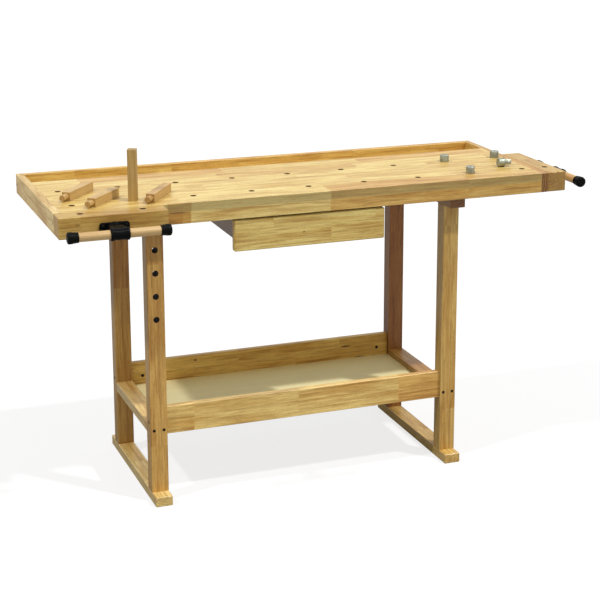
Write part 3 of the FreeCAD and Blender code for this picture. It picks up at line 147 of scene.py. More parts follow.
def rubberwood(name, corner, turn, stave, block, tone, end_tone, seed, contrast=1.18, knots=(), bores=None,
               heartwood=()):
    """Lacquered rubberwood, glued up from finger-jointed blocks.

    It gives the eye honey-coloured blocks of slightly different tone, straight soft streaks,
    short dark pores, and darker end grain with the arcs of the growth rings.
    """
    material, tree = new_material(name)
    local = millimetres(tree, corner, turn)
    along, across, through = add(tree, "ShaderNodeSeparateXYZ", (local,)).outputs

    # Which stave, and which block of the stave
    staves = add(tree, "ShaderNodeMath", (across, stave), operation="DIVIDE")
    stave_number = add(tree, "ShaderNodeMath", (staves,), operation="FLOOR")
    stave_seed = add(tree, "ShaderNodeCombineXYZ", (stave_number, seed))
    stave_random = add(tree, "ShaderNodeTexWhiteNoise", {"Vector": stave_seed})
    zigzag = add(tree, "ShaderNodeMath", (across, FINGER_PITCH / 2), operation="PINGPONG")
    joint = add(tree, "ShaderNodeMath", (zigzag, FINGER_DEPTH / FINGER_PITCH * 2, along),
                operation="MULTIPLY_ADD")
    block_place = add(tree, "ShaderNodeMath", (joint, 1 / block, stave_random), operation="MULTIPLY_ADD")
    block_number = add(tree, "ShaderNodeMath", (block_place,), operation="FLOOR")
    block_seed = add(tree, "ShaderNodeCombineXYZ", (block_number, stave_number, seed))
    block_random = add(tree, "ShaderNodeTexWhiteNoise", {"Vector": block_seed}).outputs["Color"]
    tone_random, red_random, ring_random = add(tree, "ShaderNodeSeparateColor", (block_random,)).outputs

    # Noise drawn out along the grain, different in every block
    jump = add(tree, "ShaderNodeVectorMath", (block_random, BLOCK_JUMP), operation="MULTIPLY")
    pattern = {}
    for label, (length, width, detail) in PATTERNS.items():
        place = add(tree, "ShaderNodeVectorMath", (local, (1 / length, 1 / width, 1 / width), jump),
                    operation="MULTIPLY_ADD")
        pattern[label] = add(tree, "ShaderNodeTexNoise", {"Vector": place, "Scale": 1.0, "Detail": detail})

    # Growth rings round a pith line beside the block, bent by the streaks, and by the patches on the ends
    beside = add(tree, "ShaderNodeMath", (ring_random, *PITH_DEPTH), operation="MULTIPLY_ADD")
    sideways = add(tree, "ShaderNodeMath", (tone_random, *PITH_SIDE), operation="MULTIPLY_ADD")
    in_section = add(tree, "ShaderNodeCombineXYZ", (0.0, across, through))
    pith = add(tree, "ShaderNodeCombineXYZ", (0.0, sideways, beside))
    from_pith = add(tree, "ShaderNodeVectorMath", (in_section, pith), operation="ADD")
    radius = add(tree, "ShaderNodeVectorMath", (from_pith,), operation="LENGTH")
    waves = []
    for label, wobble in (("streak", RING_WOBBLE), ("patch", ARC_WOBBLE)):
        bent = add(tree, "ShaderNodeMath", (pattern[label], wobble, radius), operation="MULTIPLY_ADD")
        phase = add(tree, "ShaderNodeMath", (bent, math.tau / RING_GAP), operation="MULTIPLY")
        waves.append(add(tree, "ShaderNodeMath", (phase,), operation="SINE"))
    pattern["ring"], arc = waves

    # Colour: the block's own tone, and heartwood where it is given
    pale = linear(tone)
    deeper = add(tree, "ShaderNodeMapRange", (tone_random, 0.0, 1.0, 0.0, BLOCK_SPREAD * contrast))
    colour = add(tree, "ShaderNodeMix", {"Factor": deeper, "A": pale, "B": shaded(pale, DEEP)},
                 data_type="RGBA")
    redder = add(tree, "ShaderNodeMapRange", (red_random, 0.7, 1.0, 0.0, REDDISH * contrast))
    colour = add(tree, "ShaderNodeMix", {"Factor": redder, "A": colour, "B": shaded(pale, WARM)},
                 data_type="RGBA")
    for start, stop, depth, strength in heartwood:
        within = strength
        for value, limit, side in ((joint, start, "GREATER_THAN"), (joint, stop, "LESS_THAN"),
                                   (across, depth, "LESS_THAN")):
            passed = add(tree, "ShaderNodeMath", (value, limit), operation=side)
            within = add(tree, "ShaderNodeMath", (passed, within), operation="MULTIPLY")
        colour = add(tree, "ShaderNodeMix", {"Factor": within, "A": colour, "B": shaded(pale, HEART)},
                     data_type="RGBA")

    # Patches, streaks, rings, fibres and pores over it, then the glue lines
    amounts = {}
    for label, low, high, strength, shade in LAYERS:
        amounts[label] = add(tree, "ShaderNodeMapRange",
                             (pattern[label], low, high, 0.0, strength * contrast))
        colour = add(tree, "ShaderNodeMix", {"Factor": amounts[label], "A": colour, "B": linear(shade)},
                     data_type="RGBA", blend_type="MULTIPLY")
    seam = add(tree, "ShaderNodeMath", (across, stave / 2), operation="PINGPONG")
    next_seam = add(tree, "ShaderNodeMath", (stave / 2, seam), operation="SUBTRACT")
    near_seam = add(tree, "ShaderNodeMath", (seam, next_seam), operation="MINIMUM")
    glue = add(tree, "ShaderNodeMapRange", (near_seam, 0.0, GLUE_LINE, GLUE_STRENGTH * contrast, 0.0))
    colour = add(tree, "ShaderNodeMix", {"Factor": glue, "A": colour, "B": shaded(pale, GLUE)},
                 data_type="RGBA")

    # Knots: small dark spots, drawn out along the grain
    for middle, size, stretch, strength in knots:
        offset = add(tree, "ShaderNodeVectorMath", (local, middle), operation="SUBTRACT")
        squeezed = add(tree, "ShaderNodeVectorMath", (offset, (1 / stretch, 1.0, 0.25)), operation="MULTIPLY")
        distance = add(tree, "ShaderNodeVectorMath", (squeezed,), operation="LENGTH")
        spot = add(tree, "ShaderNodeMapRange", (distance, size / 2, size, strength, 0.0))
        colour = add(tree, "ShaderNodeMix", {"Factor": spot, "A": colour, "B": linear(KNOT_BROWN)},
                     data_type="RGBA")

    # End grain drinks more lacquer and looks darker
    normal = add(tree, "ShaderNodeTexCoord").outputs["Normal"]
    facing = add(tree, "ShaderNodeVectorMath", (normal, turn.col[0]), operation="DOT_PRODUCT")
    facing = add(tree, "ShaderNodeMath", (facing,), operation="ABSOLUTE")
    end = add(tree, "ShaderNodeMapRange", (facing, 0.6, 0.8, 0.0, 1.0))
    end_colour = add(tree, "ShaderNodeMix", {"Factor": 1.0, "A": colour, "B": linear(end_tone)},
                     data_type="RGBA", blend_type="MULTIPLY")
    arcs = add(tree, "ShaderNodeMapRange", (arc, -0.4, 1.0, 0.0, ARC_STRENGTH))
    end_colour = add(tree, "ShaderNodeMix", {"Factor": arcs, "A": end_colour, "B": shaded(pale, LATE_WOOD)},
                     data_type="RGBA")
    colour = add(tree, "ShaderNodeMix", {"Factor": end, "A": colour, "B": end_colour}, data_type="RGBA")

    # Satin lacquer that sinks a little into the pores
    rough = add(tree, "ShaderNodeMapRange", (pattern["fibre"], 0.0, 1.0, 0.38, 0.52))
    relief = add(tree, "ShaderNodeMath", (amounts["pore"], -1.0, pattern["fibre"]), operation="MULTIPLY_ADD")

    # Walls of bored holes: matt bare wood, darkened with painted shade for the dark inside of each hole
    if bores:
        first, pitch, direction, rows, start, hole_shade_tone = bores
        past = add(tree, "ShaderNodeMath", (along, first), operation="SUBTRACT")
        past = add(tree, "ShaderNodeMath", (past, pitch), operation="MODULO")
        past = add(tree, "ShaderNodeMath", (past,), operation="ABSOLUTE")
        ahead = add(tree, "ShaderNodeMath", (pitch, past), operation="SUBTRACT")
        off_column = add(tree, "ShaderNodeMath", (past, ahead), operation="MINIMUM")
        off_row = None
        for row in rows:
            gap = add(tree, "ShaderNodeMath", ({"across": across, "through": through}[direction], row),
                      operation="SUBTRACT")
            gap = add(tree, "ShaderNodeMath", (gap,), operation="ABSOLUTE")
            off_row = gap if off_row is None else add(tree, "ShaderNodeMath", (off_row, gap),
                                                      operation="MINIMUM")
        off_axis = add(tree, "ShaderNodeCombineXYZ", (off_column, off_row))
        from_axis = add(tree, "ShaderNodeVectorMath", (off_axis,), operation="LENGTH")
        inside = add(tree, "ShaderNodeMath", (from_axis, BORE_RADIUS + BORE_EASE), operation="LESS_THAN")
        begun = add(tree, "ShaderNodeMath", (along, start), operation="GREATER_THAN")
        # Painted shade: inside a hole the walls take the given dark tone in place of the shade there
        painted_hole_shade = add(tree, "ShaderNodeMath", (inside, begun), operation="MULTIPLY")
        colour = add(tree, "ShaderNodeMix", {"Factor": painted_hole_shade, "A": colour, "B": linear(hole_shade_tone)},
                     data_type="RGBA")
        rough = add(tree, "ShaderNodeMath", (rough, painted_hole_shade), operation="MAXIMUM")

    bump = add(tree, "ShaderNodeBump", {"Height": relief, "Strength": 0.25, "Distance": 0.00012})
    shader = add(tree, "ShaderNodeBsdfPrincipled", {
        "Base Color": colour, "Roughness": rough, "IOR": 1.5, "Coat Weight": 0.06, "Coat Roughness": 0.25,
        "Normal": bump})
    add(tree, "ShaderNodeOutputMaterial", {"Surface": shader})
    return material


def dress(node, material):
    """Give a CAD node its material."""
    mesh = nodes[node].data
    mesh.materials.clear()
    mesh.materials.append(material)


# Each board: grain direction, width direction, stave and block in mm, and its tone
BOARDS = {
    "worktop_slab": (X, Y, 66, 420, "#EFD98C"),
    "front_edge_strip": (X, Z, 60, 420, "#EFD98C"),
    "tray_side_strip": (X, Z, 60, 360, "#CFAA60"),
    "right_end_strip": (Y, Z, 60, 300, "#CDA95F"),
    "left_end_board": (Y, Z, 60, 310, "#ECD594"),
    "right_end_board": (Y, Z, 60, 310, "#D3AE62"),
    "back_rail": (X, Z, 60, 290, "#E8C672"),
    "left_front_leg": (Z, X, 60, 520, "#D6AD5E"),
    "left_rear_leg": (Z, X, 60, 480, "#C09850"),
    "right_front_leg": (Z, X, 60, 560, "#DFBE70"),
    # The right rear leg's tone is darker partly for its wood and partly as painted shade under the worktop
    "right_rear_leg": (Z, X, 60, 430, "#AA783A"),
    "left_foot": (Y, X, 60, 420, "#F4DC98"),
    "right_foot": (Y, X, 60, 450, "#E8C97B"),
    "left_bearer": (Y, X, 60, 380, "#CCA45C"),
    "right_bearer": (Y, X, 60, 400, "#CFA860"),
    "left_stretcher": (Y, X, 60, 300, "#EBD190"),
    "right_stretcher": (Y, X, 60, 260, "#D6AC5E"),
    "shelf_front_rail": (X, Z, 90, 310, "#F3D584"),
    "shelf_back_rail": (X, Z, 42, 330, "#F1D077"),
    "drawer_front": (X, Z, 58, 300, "#ECD787"),
    "drawer_runners": (Y, Z, 70, 350, "#CFA868"),
    "front_vise_jaw": (X, Z, 60, 400, "#D2B566"),
    "tail_vise_jaw": (Y, X, 62, 400, "#D6BA72"),
}
# Boards whose end grain is given its own tone: darker on some, lighter on others
END_TONE = "#EADBB4"
END_TONES = {"right_end_board": "#A98A55", "tail_vise_jaw": "#D9C39C", "left_bearer": "#A98258",
             "right_bearer": "#A98258", "left_foot": "#FFFBEA", "right_foot": "#FFF8EC",
             "left_end_board": "#F2E6CC", "front_vise_jaw": "#FFF3DC"}
# Knots: place along, across and through the board in mm, radius, how far it is drawn out, and how dark
KNOTS = {"shelf_back_rail": (((200, 66, 0), 5, 1.2, 0.8), ((690, 52, 0), 4, 5.0, 0.85),
                             ((738, 12, 0), 4, 5.0, 0.85)),
         "left_foot": (((117, 40, 12), 6, 1.0, 0.7),),
         "front_vise_jaw": (((50, 36, 0), 5, 1.6, 0.35),),
         "front_edge_strip": (((313, 31, 0), 2.4, 12.5, 0.6),),
         "drawer_front": (((200, 39, 0), 2.5, 2.0, 0.8),)}
# Bored holes: first along the board, pitch, the other direction across the hole, rows, where they begin,
# and the dark tone of painted shade on their walls
BORES = {"worktop_slab": (44.0, 166.0, "across", (75.0, 252.0), -1.0, "#6E4E26"),
         "left_front_leg": (500.0, 65.0, "across", (24.0,), 480.0, "#20140A"),
         "front_vise_jaw": (64.0, 166.0, "through", (-33.0,), -1.0, "#6E4E26"),
         "tail_vise_jaw": (75.0, 1000.0, "across", (29.0,), -1.0, "#6E4E26")}
# Pieces sawn from the same boards as another, whose blocks go on from its own
SAWN_FROM = {"front_edge_strip": "worktop_slab", "left_stretcher": "left_foot"}
# Blocks of darker heartwood in the front edge: from and to along the board, and how dark. The slab has
# them only near its front face, the strip below it all the way through.
FRONT_EDGE_BLOCKS = ((283.0, 349.0, 1.0), (349.0, 760.0, 0.14), (1030.0, 1400.0, 0.32))
HEARTWOOD = {node: [(start, stop, depth, strength) for start, stop, strength in FRONT_EDGE_BLOCKS]
             for node, depth in (("worktop_slab", 3.0), ("front_edge_strip", 60.0))}
FIRST_SEED = 3.0
for node, (grain, width, stave, block, tone) in BOARDS.items():
    number = list(BOARDS).index(SAWN_FROM.get(node, node))
    dress(node, rubberwood(
        f"lacquered_rubberwood_{node}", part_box(node)[0], turned_to(grain, width), stave, block, tone,
        END_TONES.get(node, END_TONE), FIRST_SEED + number, knots=KNOTS.get(node, ()),
        bores=BORES.get(node), heartwood=HEARTWOOD.get(node, ())))


# -------------------------------- other finishes

LUMPS, PEEL = (3.0,), (0.9, 1.0)          # the size of the noise in mm, its detail, and how it is drawn out


def finish(name, tones, stain, blend, rough, rough_range, relief=(), bump=(), turn=UNTURNED, **values):
    """Two tones that noise lays over each other, with its own roughness and relief.

    stain and rough say which noise, blend and rough_range from and to which of it, and relief adds up
    noises, each with its weight, for a bump of some strength and depth.
    """
    material, tree = new_material(name)
    place = millimetres(tree, turn=turn)
    tone = noise(tree, place, *stain)
    share = add(tree, "ShaderNodeMapRange", (tone, *blend, 0.0, 1.0))
    colour = add(tree, "ShaderNodeMix", {"Factor": share, "A": linear(tones[0]), "B": linear(tones[1])},
                 data_type="RGBA")
    sheen = tone if rough == stain else noise(tree, place, *rough)
    inputs = {"Base Color": colour, "Roughness": add(tree, "ShaderNodeMapRange", (sheen, *rough_range))}
    height = None
    for texture, weight in relief:
        layer = noise(tree, place, *texture)
        height = layer if height is None else add(tree, "ShaderNodeMath", (layer, weight, height),
                                                  operation="MULTIPLY_ADD")
    if relief:
        inputs["Normal"] = add(tree, "ShaderNodeBump",
                               {"Height": height, "Strength": bump[0], "Distance": bump[1]})
    inputs.update({label.replace("_", " "): value for label, value in values.items()})
    shader = add(tree, "ShaderNodeBsdfPrincipled", inputs)
    add(tree, "ShaderNodeOutputMaterial", {"Surface": shader})
    return material


def turned_steel(name, axis, tones, roughness):
    """Steel turned on a lathe: fine rings round the axis, with faint stains of oil."""
    stain, rings = (16.0, 4.0), (0.8, 1.0, (1, 60, 60))
    return finish(name, tones, stain, (0.4, 0.72), stain, (0.3, 0.8, roughness, roughness + 0.16),
                  [(rings, 1)], (0.35, 0.0001), turned_to(axis, X if abs(axis.x) < 0.5 else Y), Metallic=1.0)


def fibreboard(name, tone, speck_tone):
    """Hard fibreboard: an even pale sheet with a fine felt of fibres and tiny darker specks."""
    material, tree = new_material(name)
    place = millimetres(tree)
    fibres, crossing = noise(tree, place, 2.2, 3.0, (40, 1, 1)), noise(tree, place, 1.8, 3.0, (5, 1, 1))
    felt = add(tree, "ShaderNodeMath", (fibres, crossing), operation="MAXIMUM")
    colour, pale, dark = linear(tone), linear(tone), linear(speck_tone)
    for pattern, low, high, strength, shade in (
            (felt, 0.5, 0.8, 0.5, dark),
            (noise(tree, place, 26.0, 3.0, (8, 1, 1)), 0.35, 0.7, 0.5, shaded(pale, [0.88] * 3)),
            (noise(tree, place, 0.9, 0.0), 0.72, 0.8, 0.6, dark)):
        share = add(tree, "ShaderNodeMapRange", (pattern, low, high, 0.0, strength))
        colour = add(tree, "ShaderNodeMix", {"Factor": share, "A": colour, "B": shade}, data_type="RGBA")
    shader = add(tree, "ShaderNodeBsdfPrincipled", {
        "Base Color": colour, "Roughness": add(tree, "ShaderNodeMapRange", (felt, 0.3, 0.8, 0.5, 0.66)),
        "Normal": add(tree, "ShaderNodeBump", {"Height": felt, "Strength": 0.2, "Distance": 0.0001})})
    add(tree, "ShaderNodeOutputMaterial", {"Surface": shader})
    return material


# Glossy black enamel on sand-cast iron: a soft orange peel over the casting's own lumps
enamel = finish("black_enamel_on_cast_iron", ("#060707", "#0E0F0E"), LUMPS, (0.35, 0.7),
                (12.0,), (0.3, 0.7, 0.22, 0.36), [(LUMPS, 1), (PEEL, 0.35)], (0.5, 0.0003),
                Specular_IOR_Level=0.06)
# Black moulded rubber with a fine matt grain and a little handling shine
rubber = finish("black_moulded_rubber", ("#080807", "#12120F"), (9.0,), (0.3, 0.7),
                (14.0,), (0.3, 0.7, 0.30, 0.48), [((0.7, 1.0), 1)], (0.3, 0.0002), Specular_IOR_Level=0.06)
# Blackened steel fasteners: dark, slightly brown, half matt, brighter where a driver has rubbed
oxide = finish("black_oxide_steel", ("#1C1A18", "#3A3733"), (2.2, 3.0), (0.5, 0.75),
               (2.2, 3.0), (0.3, 0.8, 0.5, 0.36), Metallic=0.7)
# Chipboard faced with warm grey melamine foil: faint printed streaks and a fine pebble
PRINT = (3.0, 3.0, (12, 12, 1))
drawer_foil = finish("grey_melamine_foil", ("#82746A", "#918279"), PRINT, (0.3, 0.7),
                     PRINT, (0.3, 0.7, 0.42, 0.52), [((0.6, 0.0), 1)], (0.2, 0.0001))
fibre_panel = fibreboard("birch_coloured_fibreboard", "#FAEFBA", "#EAD48C")
OILED = ("#B9B9B6", "#7B776F")
front_steel = turned_steel("oiled_turned_steel_front", Y, OILED, 0.28)
tail_steel = turned_steel("oiled_turned_steel_tail", X, OILED, 0.28)
zinc = turned_steel("zinc_plated_steel", Z, ("#A9AD9E", "#787C70"), 0.38)

for material, dressed in (
        (fibre_panel, ("shelf_panel", "tray_floor", "drawer_bottom")),
        (drawer_foil, ("drawer_left_side", "drawer_right_side", "drawer_back", "drawer_slide_strips")),
        (enamel, ("front_vise_tie_bar", "tail_vise_tie_bar", "vise_nut_plates", "front_vise_bracket",
                  "tail_vise_bracket", "front_vise_hub", "tail_vise_hub")),
        (rubber, ("front_vise_handle_caps", "tail_vise_handle_caps")),
        (oxide, ("trestle_screws", "top_screws", "end_board_screws", "rail_bolts", "rail_barrel_nuts",
                 "front_vise_bracket_screws", "tail_vise_bracket_screws")),
        (front_steel, ("front_vise_guide_rods", "front_vise_screw")),
        (tail_steel, ("tail_vise_guide_rods", "tail_vise_screw")),
        (zinc, ("dog_one", "dog_two", "dog_three", "dog_four"))):
    for node in dressed:
        dress(node, material)


def turned(axis, degrees):
    return Matrix.Rotation(math.radians(degrees), 4, axis)


# Sanded beech pegs and dowels, whose grain follows each piece: the material's name, the directions of
# grain and width, tone, seed, contrast, and the tone of the ends
WHOLE_STAVE, WHOLE_BLOCK = 90, 900        # mm, wider and longer than any of them
for node, name, grain, width, tone, seed, contrast, end_tone in (
        ("peg_one", "sanded_beech_peg_one", turned("Z", 51) @ X, Z, "#D0AF70", 50.0, 0.5, "#F2E6CE"),
        ("peg_two", "sanded_beech_peg_two", turned("Z", 50) @ X, Z, "#D0AF70", 51.0, 0.5, "#F2E6CE"),
        ("peg_three", "sanded_beech_peg_three", turned("Z", 56) @ X, Z, "#D0AF70", 52.0, 0.5, "#F2E6CE"),
        ("peg_four", "sanded_beech_peg_four", Z, X, "#C0A464", 54.0, 0.6, "#F2E6CE"),
        ("front_vise_handle", "sanded_dowel_front", X, Y, "#D2B17A", 60.0, 0.5, END_TONE),
        ("tail_vise_handle", "sanded_dowel_tail", Y, X, "#CFA562", 61.0, 0.5, END_TONE)):
    dress(node, rubberwood(name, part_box(node)[0], turned_to(grain, width), WHOLE_STAVE, WHOLE_BLOCK, tone,
                           end_tone, seed, contrast))


# -------------------------------- making pieces

def vise_frame(name, out):
    """Where a vise screw's axis meets the jaw's inner face: X along the jaw, Y up, Z out of the bench."""
    low, high = (Vector(corner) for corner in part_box(f"{name}_jaw"))
    screw_low, screw_high = (Vector(corner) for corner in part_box(f"{name}_screw"))
    origin = (screw_low + screw_high) / 2
    inner = high.y if out.y < 0 else low.x
    origin = Vector((origin.x, inner, origin.z)) if out.y < 0 else Vector((inner, origin.y, origin.z))
    return Matrix.Translation(origin) @ Matrix((Z.cross(out), Z, out)).transposed().to_4x4()


def set_at(place, x, y, z):
    """A further place, in millimetres of the first one."""
    return place @ Matrix.Translation(Vector((x, y, z)) * MM)


ALONG_X = Matrix(((0, 0, 1), (1, 0, 0), (0, 1, 0))).to_4x4()     # turns a piece's own Z onto X


def rounded(corners, steps=4):
    """An open or closed outline, where each corner (x, y, trim) is rounded from trim mm before it."""
    outline = []
    for index, (x, y, trim) in enumerate(corners):
        corner = Vector((x, y))
        if not trim:
            outline.append(corner)
            continue
        before = Vector(corners[index - 1][:2]) - corner
        after = Vector(corners[(index + 1) % len(corners)][:2]) - corner
        start, stop = corner + before.normalized() * trim, corner + after.normalized() * trim
        for step in range(steps + 1):
            share = step / steps
            outline.append(start.lerp(corner, share).lerp(corner.lerp(stop, share), share))
    return outline


WELD = 1e-7                 # m, between points that are one


def round_axis(radius, angle, height):
    """The point at a radius, an angle and a height."""
    return Vector((radius * math.cos(angle), radius * math.sin(angle), height))


def lathe(build, outline, place, closed=True, segments=48):
    """Turn an outline of (radius, height) in millimetres about the Z axis of a place."""
    rings = []
    for step in range(segments):
        angle = math.tau * step / segments
        rings.append([build.verts.new(place @ (round_axis(radius, angle, height) * MM))
                      for radius, height in outline])
    last = len(outline) if closed else len(outline) - 1
    for step, ring in enumerate(rings):
        following = rings[(step + 1) % segments]
        for index in range(last):
            after = (index + 1) % len(outline)
            build.faces.new((ring[index], following[index], following[after], ring[after]))
    bmesh.ops.remove_doubles(build, verts=build.verts, dist=WELD)


def evaluated(holder):
    """The mesh that an object comes to with its modifiers; the object itself goes."""
    mesh = bpy.data.meshes.new_from_object(holder.evaluated_get(bpy.context.evaluated_depsgraph_get()))
    bpy.data.objects.remove(holder)
    return mesh


def plate(build, outlines, thickness, softened, place):
    """A flat plate from Z 0 to its thickness, with softened edges; outlines after the first are holes."""
    curve = bpy.data.curves.new("plate", "CURVE")
    curve.dimensions = "2D"
    curve.fill_mode = "BOTH"
    curve.extrude = thickness / 2 - softened
    curve.bevel_depth = softened
    curve.bevel_resolution = 2
    curve.offset = -softened
    for outline in outlines:
        spline = curve.splines.new("POLY")
        spline.points.add(len(outline) - 1)
        for point, (x, y) in zip(spline.points, outline):
            point.co = (x, y, 0, 1)
        spline.use_cyclic_u = True
    mesh = evaluated(new_object("plate", curve))
    mesh.transform(place @ Matrix.Scale(MM, 4) @ Matrix.Translation((0, 0, thickness / 2)))
    build.from_mesh(mesh)
    bpy.data.meshes.remove(mesh)
    bpy.data.curves.remove(curve)
    bmesh.ops.remove_doubles(build, verts=build.verts, dist=WELD)


def hole_of(radius, x=0.0, y=0.0, count=32):
    """A round outline that runs clockwise, as a hole does."""
    angles = [-math.tau * step / count for step in range(count)]
    return [(x + radius * math.cos(angle), y + radius * math.sin(angle)) for angle in angles]


def stand_for(node, name, mesh, material, sharp=34.0):
    """Make a mesh the piece that is seen in place of a CAD node, and let it move as that node does."""
    mesh.name = name
    mesh.materials.clear()
    mesh.materials.append(material)
    mesh.shade_smooth()
    mesh.set_sharp_from_angle(angle=math.radians(sharp))
    piece = new_object(name, mesh)
    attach(piece, body_of_node[node])
    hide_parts(node)


def mesh_of(build):
    """The mesh of a finished build, with every closed shell facing outwards."""
    bmesh.ops.recalc_face_normals(build, faces=build.faces)
    mesh = bpy.data.meshes.new("build")
    build.to_mesh(mesh)
    build.free()
    return mesh


# -------------------------------- the vises

JAW_THICKNESS = 58.0        # mm, as are all lengths below
BRACKET_THICKNESS = 6.0
BOSS_TOP = 14.0             # of the bracket, off the face of the jaw
HANDLE_STANDOFF = 57.0
SCREW_RADIUS, THREAD_DEPTH, THREAD_LEAD = 11.0, 2.0, 6.0
THREAD_FOOT, THREAD_CREST = 2.2, 1.1          # half widths of the ridge
THREAD_SINK = 0.2           # of the ridge's foot into the core, so that they overlap
COLLAR_RADIUS = 14.0
COLLAR_BACK, COLLAR_FRONT = JAW_THICKNESS - 6.3, JAW_THICKNESS - 0.3
HUB_GAP = 0.3               # between the hub and the bracket's boss
SCREW_PLAY = 0.3            # of the bracket round the screw: more than the flats of its bore take up
SCREW_REACH = 220.0
SEGMENTS_A_TURN = 24


def thread_ridge(build, place, start, turns):
    """The closed trapezoid ridge of a right-handed screw thread."""
    root = SCREW_RADIUS - THREAD_DEPTH - THREAD_SINK
    section = ((root, -THREAD_FOOT), (SCREW_RADIUS, -THREAD_CREST), (SCREW_RADIUS, THREAD_CREST),
               (root, THREAD_FOOT))
    rows = []
    count = int(turns * SEGMENTS_A_TURN)
    for step in range(count + 1):
        angle = math.tau * step / SEGMENTS_A_TURN
        rise = start + THREAD_LEAD * step / SEGMENTS_A_TURN
        fade = min(1.0, step / SEGMENTS_A_TURN * 2, (count - step) / SEGMENTS_A_TURN * 2)
        row = []
        for radius, height in section:
            shrunk = root - 0.3 + (radius - root + 0.3) * max(fade, 0.02)
            point = round_axis(shrunk, angle, rise + height * max(fade, 0.3))
            row.append(build.verts.new(place @ (point * MM)))
        rows.append(row)
    for row, following in zip(rows, rows[1:]):
        for index in range(4):
            after = (index + 1) % 4
            build.faces.new((row[index], row[after], following[after], following[index]))
    build.faces.new(rows[0])
    build.faces.new(list(reversed(rows[-1])))


def vise_screw(name, place, material):
    """The steel screw: rolled thread inside the bench, thrust collar, and a plain journal under the hub."""
    build = bmesh.new()
    core = SCREW_RADIUS - THREAD_DEPTH
    end = JAW_THICKNESS + HANDLE_STANDOFF - 14.4
    lathe(build, rounded((
        (0, -SCREW_REACH, 0), (core - 2, -SCREW_REACH, 0.5), (core, -SCREW_REACH + 2.5, 0.5),
        (core, -8, 0.5), (SCREW_RADIUS, -5, 0.5), (SCREW_RADIUS, COLLAR_BACK, 0.4),
        (COLLAR_RADIUS, COLLAR_BACK, 0.8), (COLLAR_RADIUS, COLLAR_FRONT, 0.8),
        (SCREW_RADIUS, COLLAR_FRONT, 0.4),
        (SCREW_RADIUS, end - 1, 0.6), (SCREW_RADIUS - 1, end, 0.3), (0, end, 0)), steps=3), place,
        closed=False)
    turns = (SCREW_REACH - 14) / THREAD_LEAD
    thread_ridge(build, place, -SCREW_REACH + 4, turns)
    stand_for(f"{name}_screw", f"{name}_threaded_screw", mesh_of(build), material)


def vise_hub(name, place, material):
    """The cast hub: a barrel with thick rims round the handle, and a broad neck pinned to the screw."""
    build = bmesh.new()
    handle_axis = set_at(place, 0, 0, JAW_THICKNESS + HANDLE_STANDOFF)
    half, rim, waist, bore = 25.0, 17.0, 15.4, 12.4
    lathe(build, rounded((
        (bore, -half, 0.8), (rim, -half, 2.4), (rim, -half + 8, 1.2), (waist, -half + 11, 1.6),
        (waist, half - 11, 1.6), (rim, half - 8, 1.2), (rim, half, 2.4), (bore, half, 0.8))),
        handle_axis @ ALONG_X)
    foot, shoulder, inside, neck = BOSS_TOP + HUB_GAP - HANDLE_STANDOFF, -8.0, 14.2, 42.0
    angles = [math.radians(angle) for angle in range(64, -65, -8)]
    saddle = [(inside * math.sin(angle), -inside * math.cos(angle)) for angle in angles]
    outline = rounded(((-15, foot, 4.0), (15, foot, 4.0), (15, shoulder, 1.5))) + saddle + [(-15, shoulder)]
    plate(build, [outline], neck, 2.6, set_at(handle_axis, -neck / 2, 0, 0) @ ALONG_X)
    for side in (-1, 1):
        pin = set_at(handle_axis, 0, side * 13.0, -26.0) @ Matrix.Rotation(-side * math.pi / 2, 4, "X")
        lathe(build, rounded(((0, 0, 0), (3.0, 0, 0.2), (3.0, 2.6, 0.6), (0, 3.1, 0)), steps=3), pin,
              closed=False, segments=20)
    stand_for(f"{name}_hub", f"{name}_cast_hub", mesh_of(build), material)


def vise_bracket(name, place, material):
    """The cast bracket: a plate with round corners and four screw seats, and a boss with a cast fillet."""
    build = bmesh.new()
    face = set_at(place, 0, 0, JAW_THICKNESS)
    corners = [(x, y, 9.0) for x, y in ((-40, -19), (40, -19), (40, 19), (-40, 19))]
    bore = SCREW_RADIUS + SCREW_PLAY
    holes = [hole_of(bore)] + [hole_of(2.3, x, y, 16) for x in (-31, 31) for y in (-11, 11)]
    plate(build, [rounded(corners, 6)] + holes, BRACKET_THICKNESS, 1.4, face)
    lathe(build, rounded((
        (bore, 4, 0), (20.5, 4, 0), (20.5, BRACKET_THICKNESS - 0.1, 0), (18.2, BRACKET_THICKNESS + 1.2, 0.9),
        (17.4, BOSS_TOP - 1, 1.4), (15.6, BOSS_TOP, 0.6), (bore, BOSS_TOP, 0))), face)
    for side in (-1, 1):                  # a cast rib from the boss out to each end of the plate
        rib = rounded(((0, 0, 0), (15, 0, 0), (15, 1.0, 0.5), (0, 5.5, 1.5)))
        turn = Matrix(((side, 0, 0, 0), (0, 0, -side, 0), (0, 1, 0, 0), (0, 0, 0, 1)))
        plate(build, [rib], 5.0, 0.8, set_at(face, side * 16, side * 2.5, BRACKET_THICKNESS - 0.4) @ turn)
    stand_for(f"{name}_bracket", f"{name}_cast_bracket", mesh_of(build), material)


CAP_LENGTH, CAP_SOLID_END = 29.0, 9.0


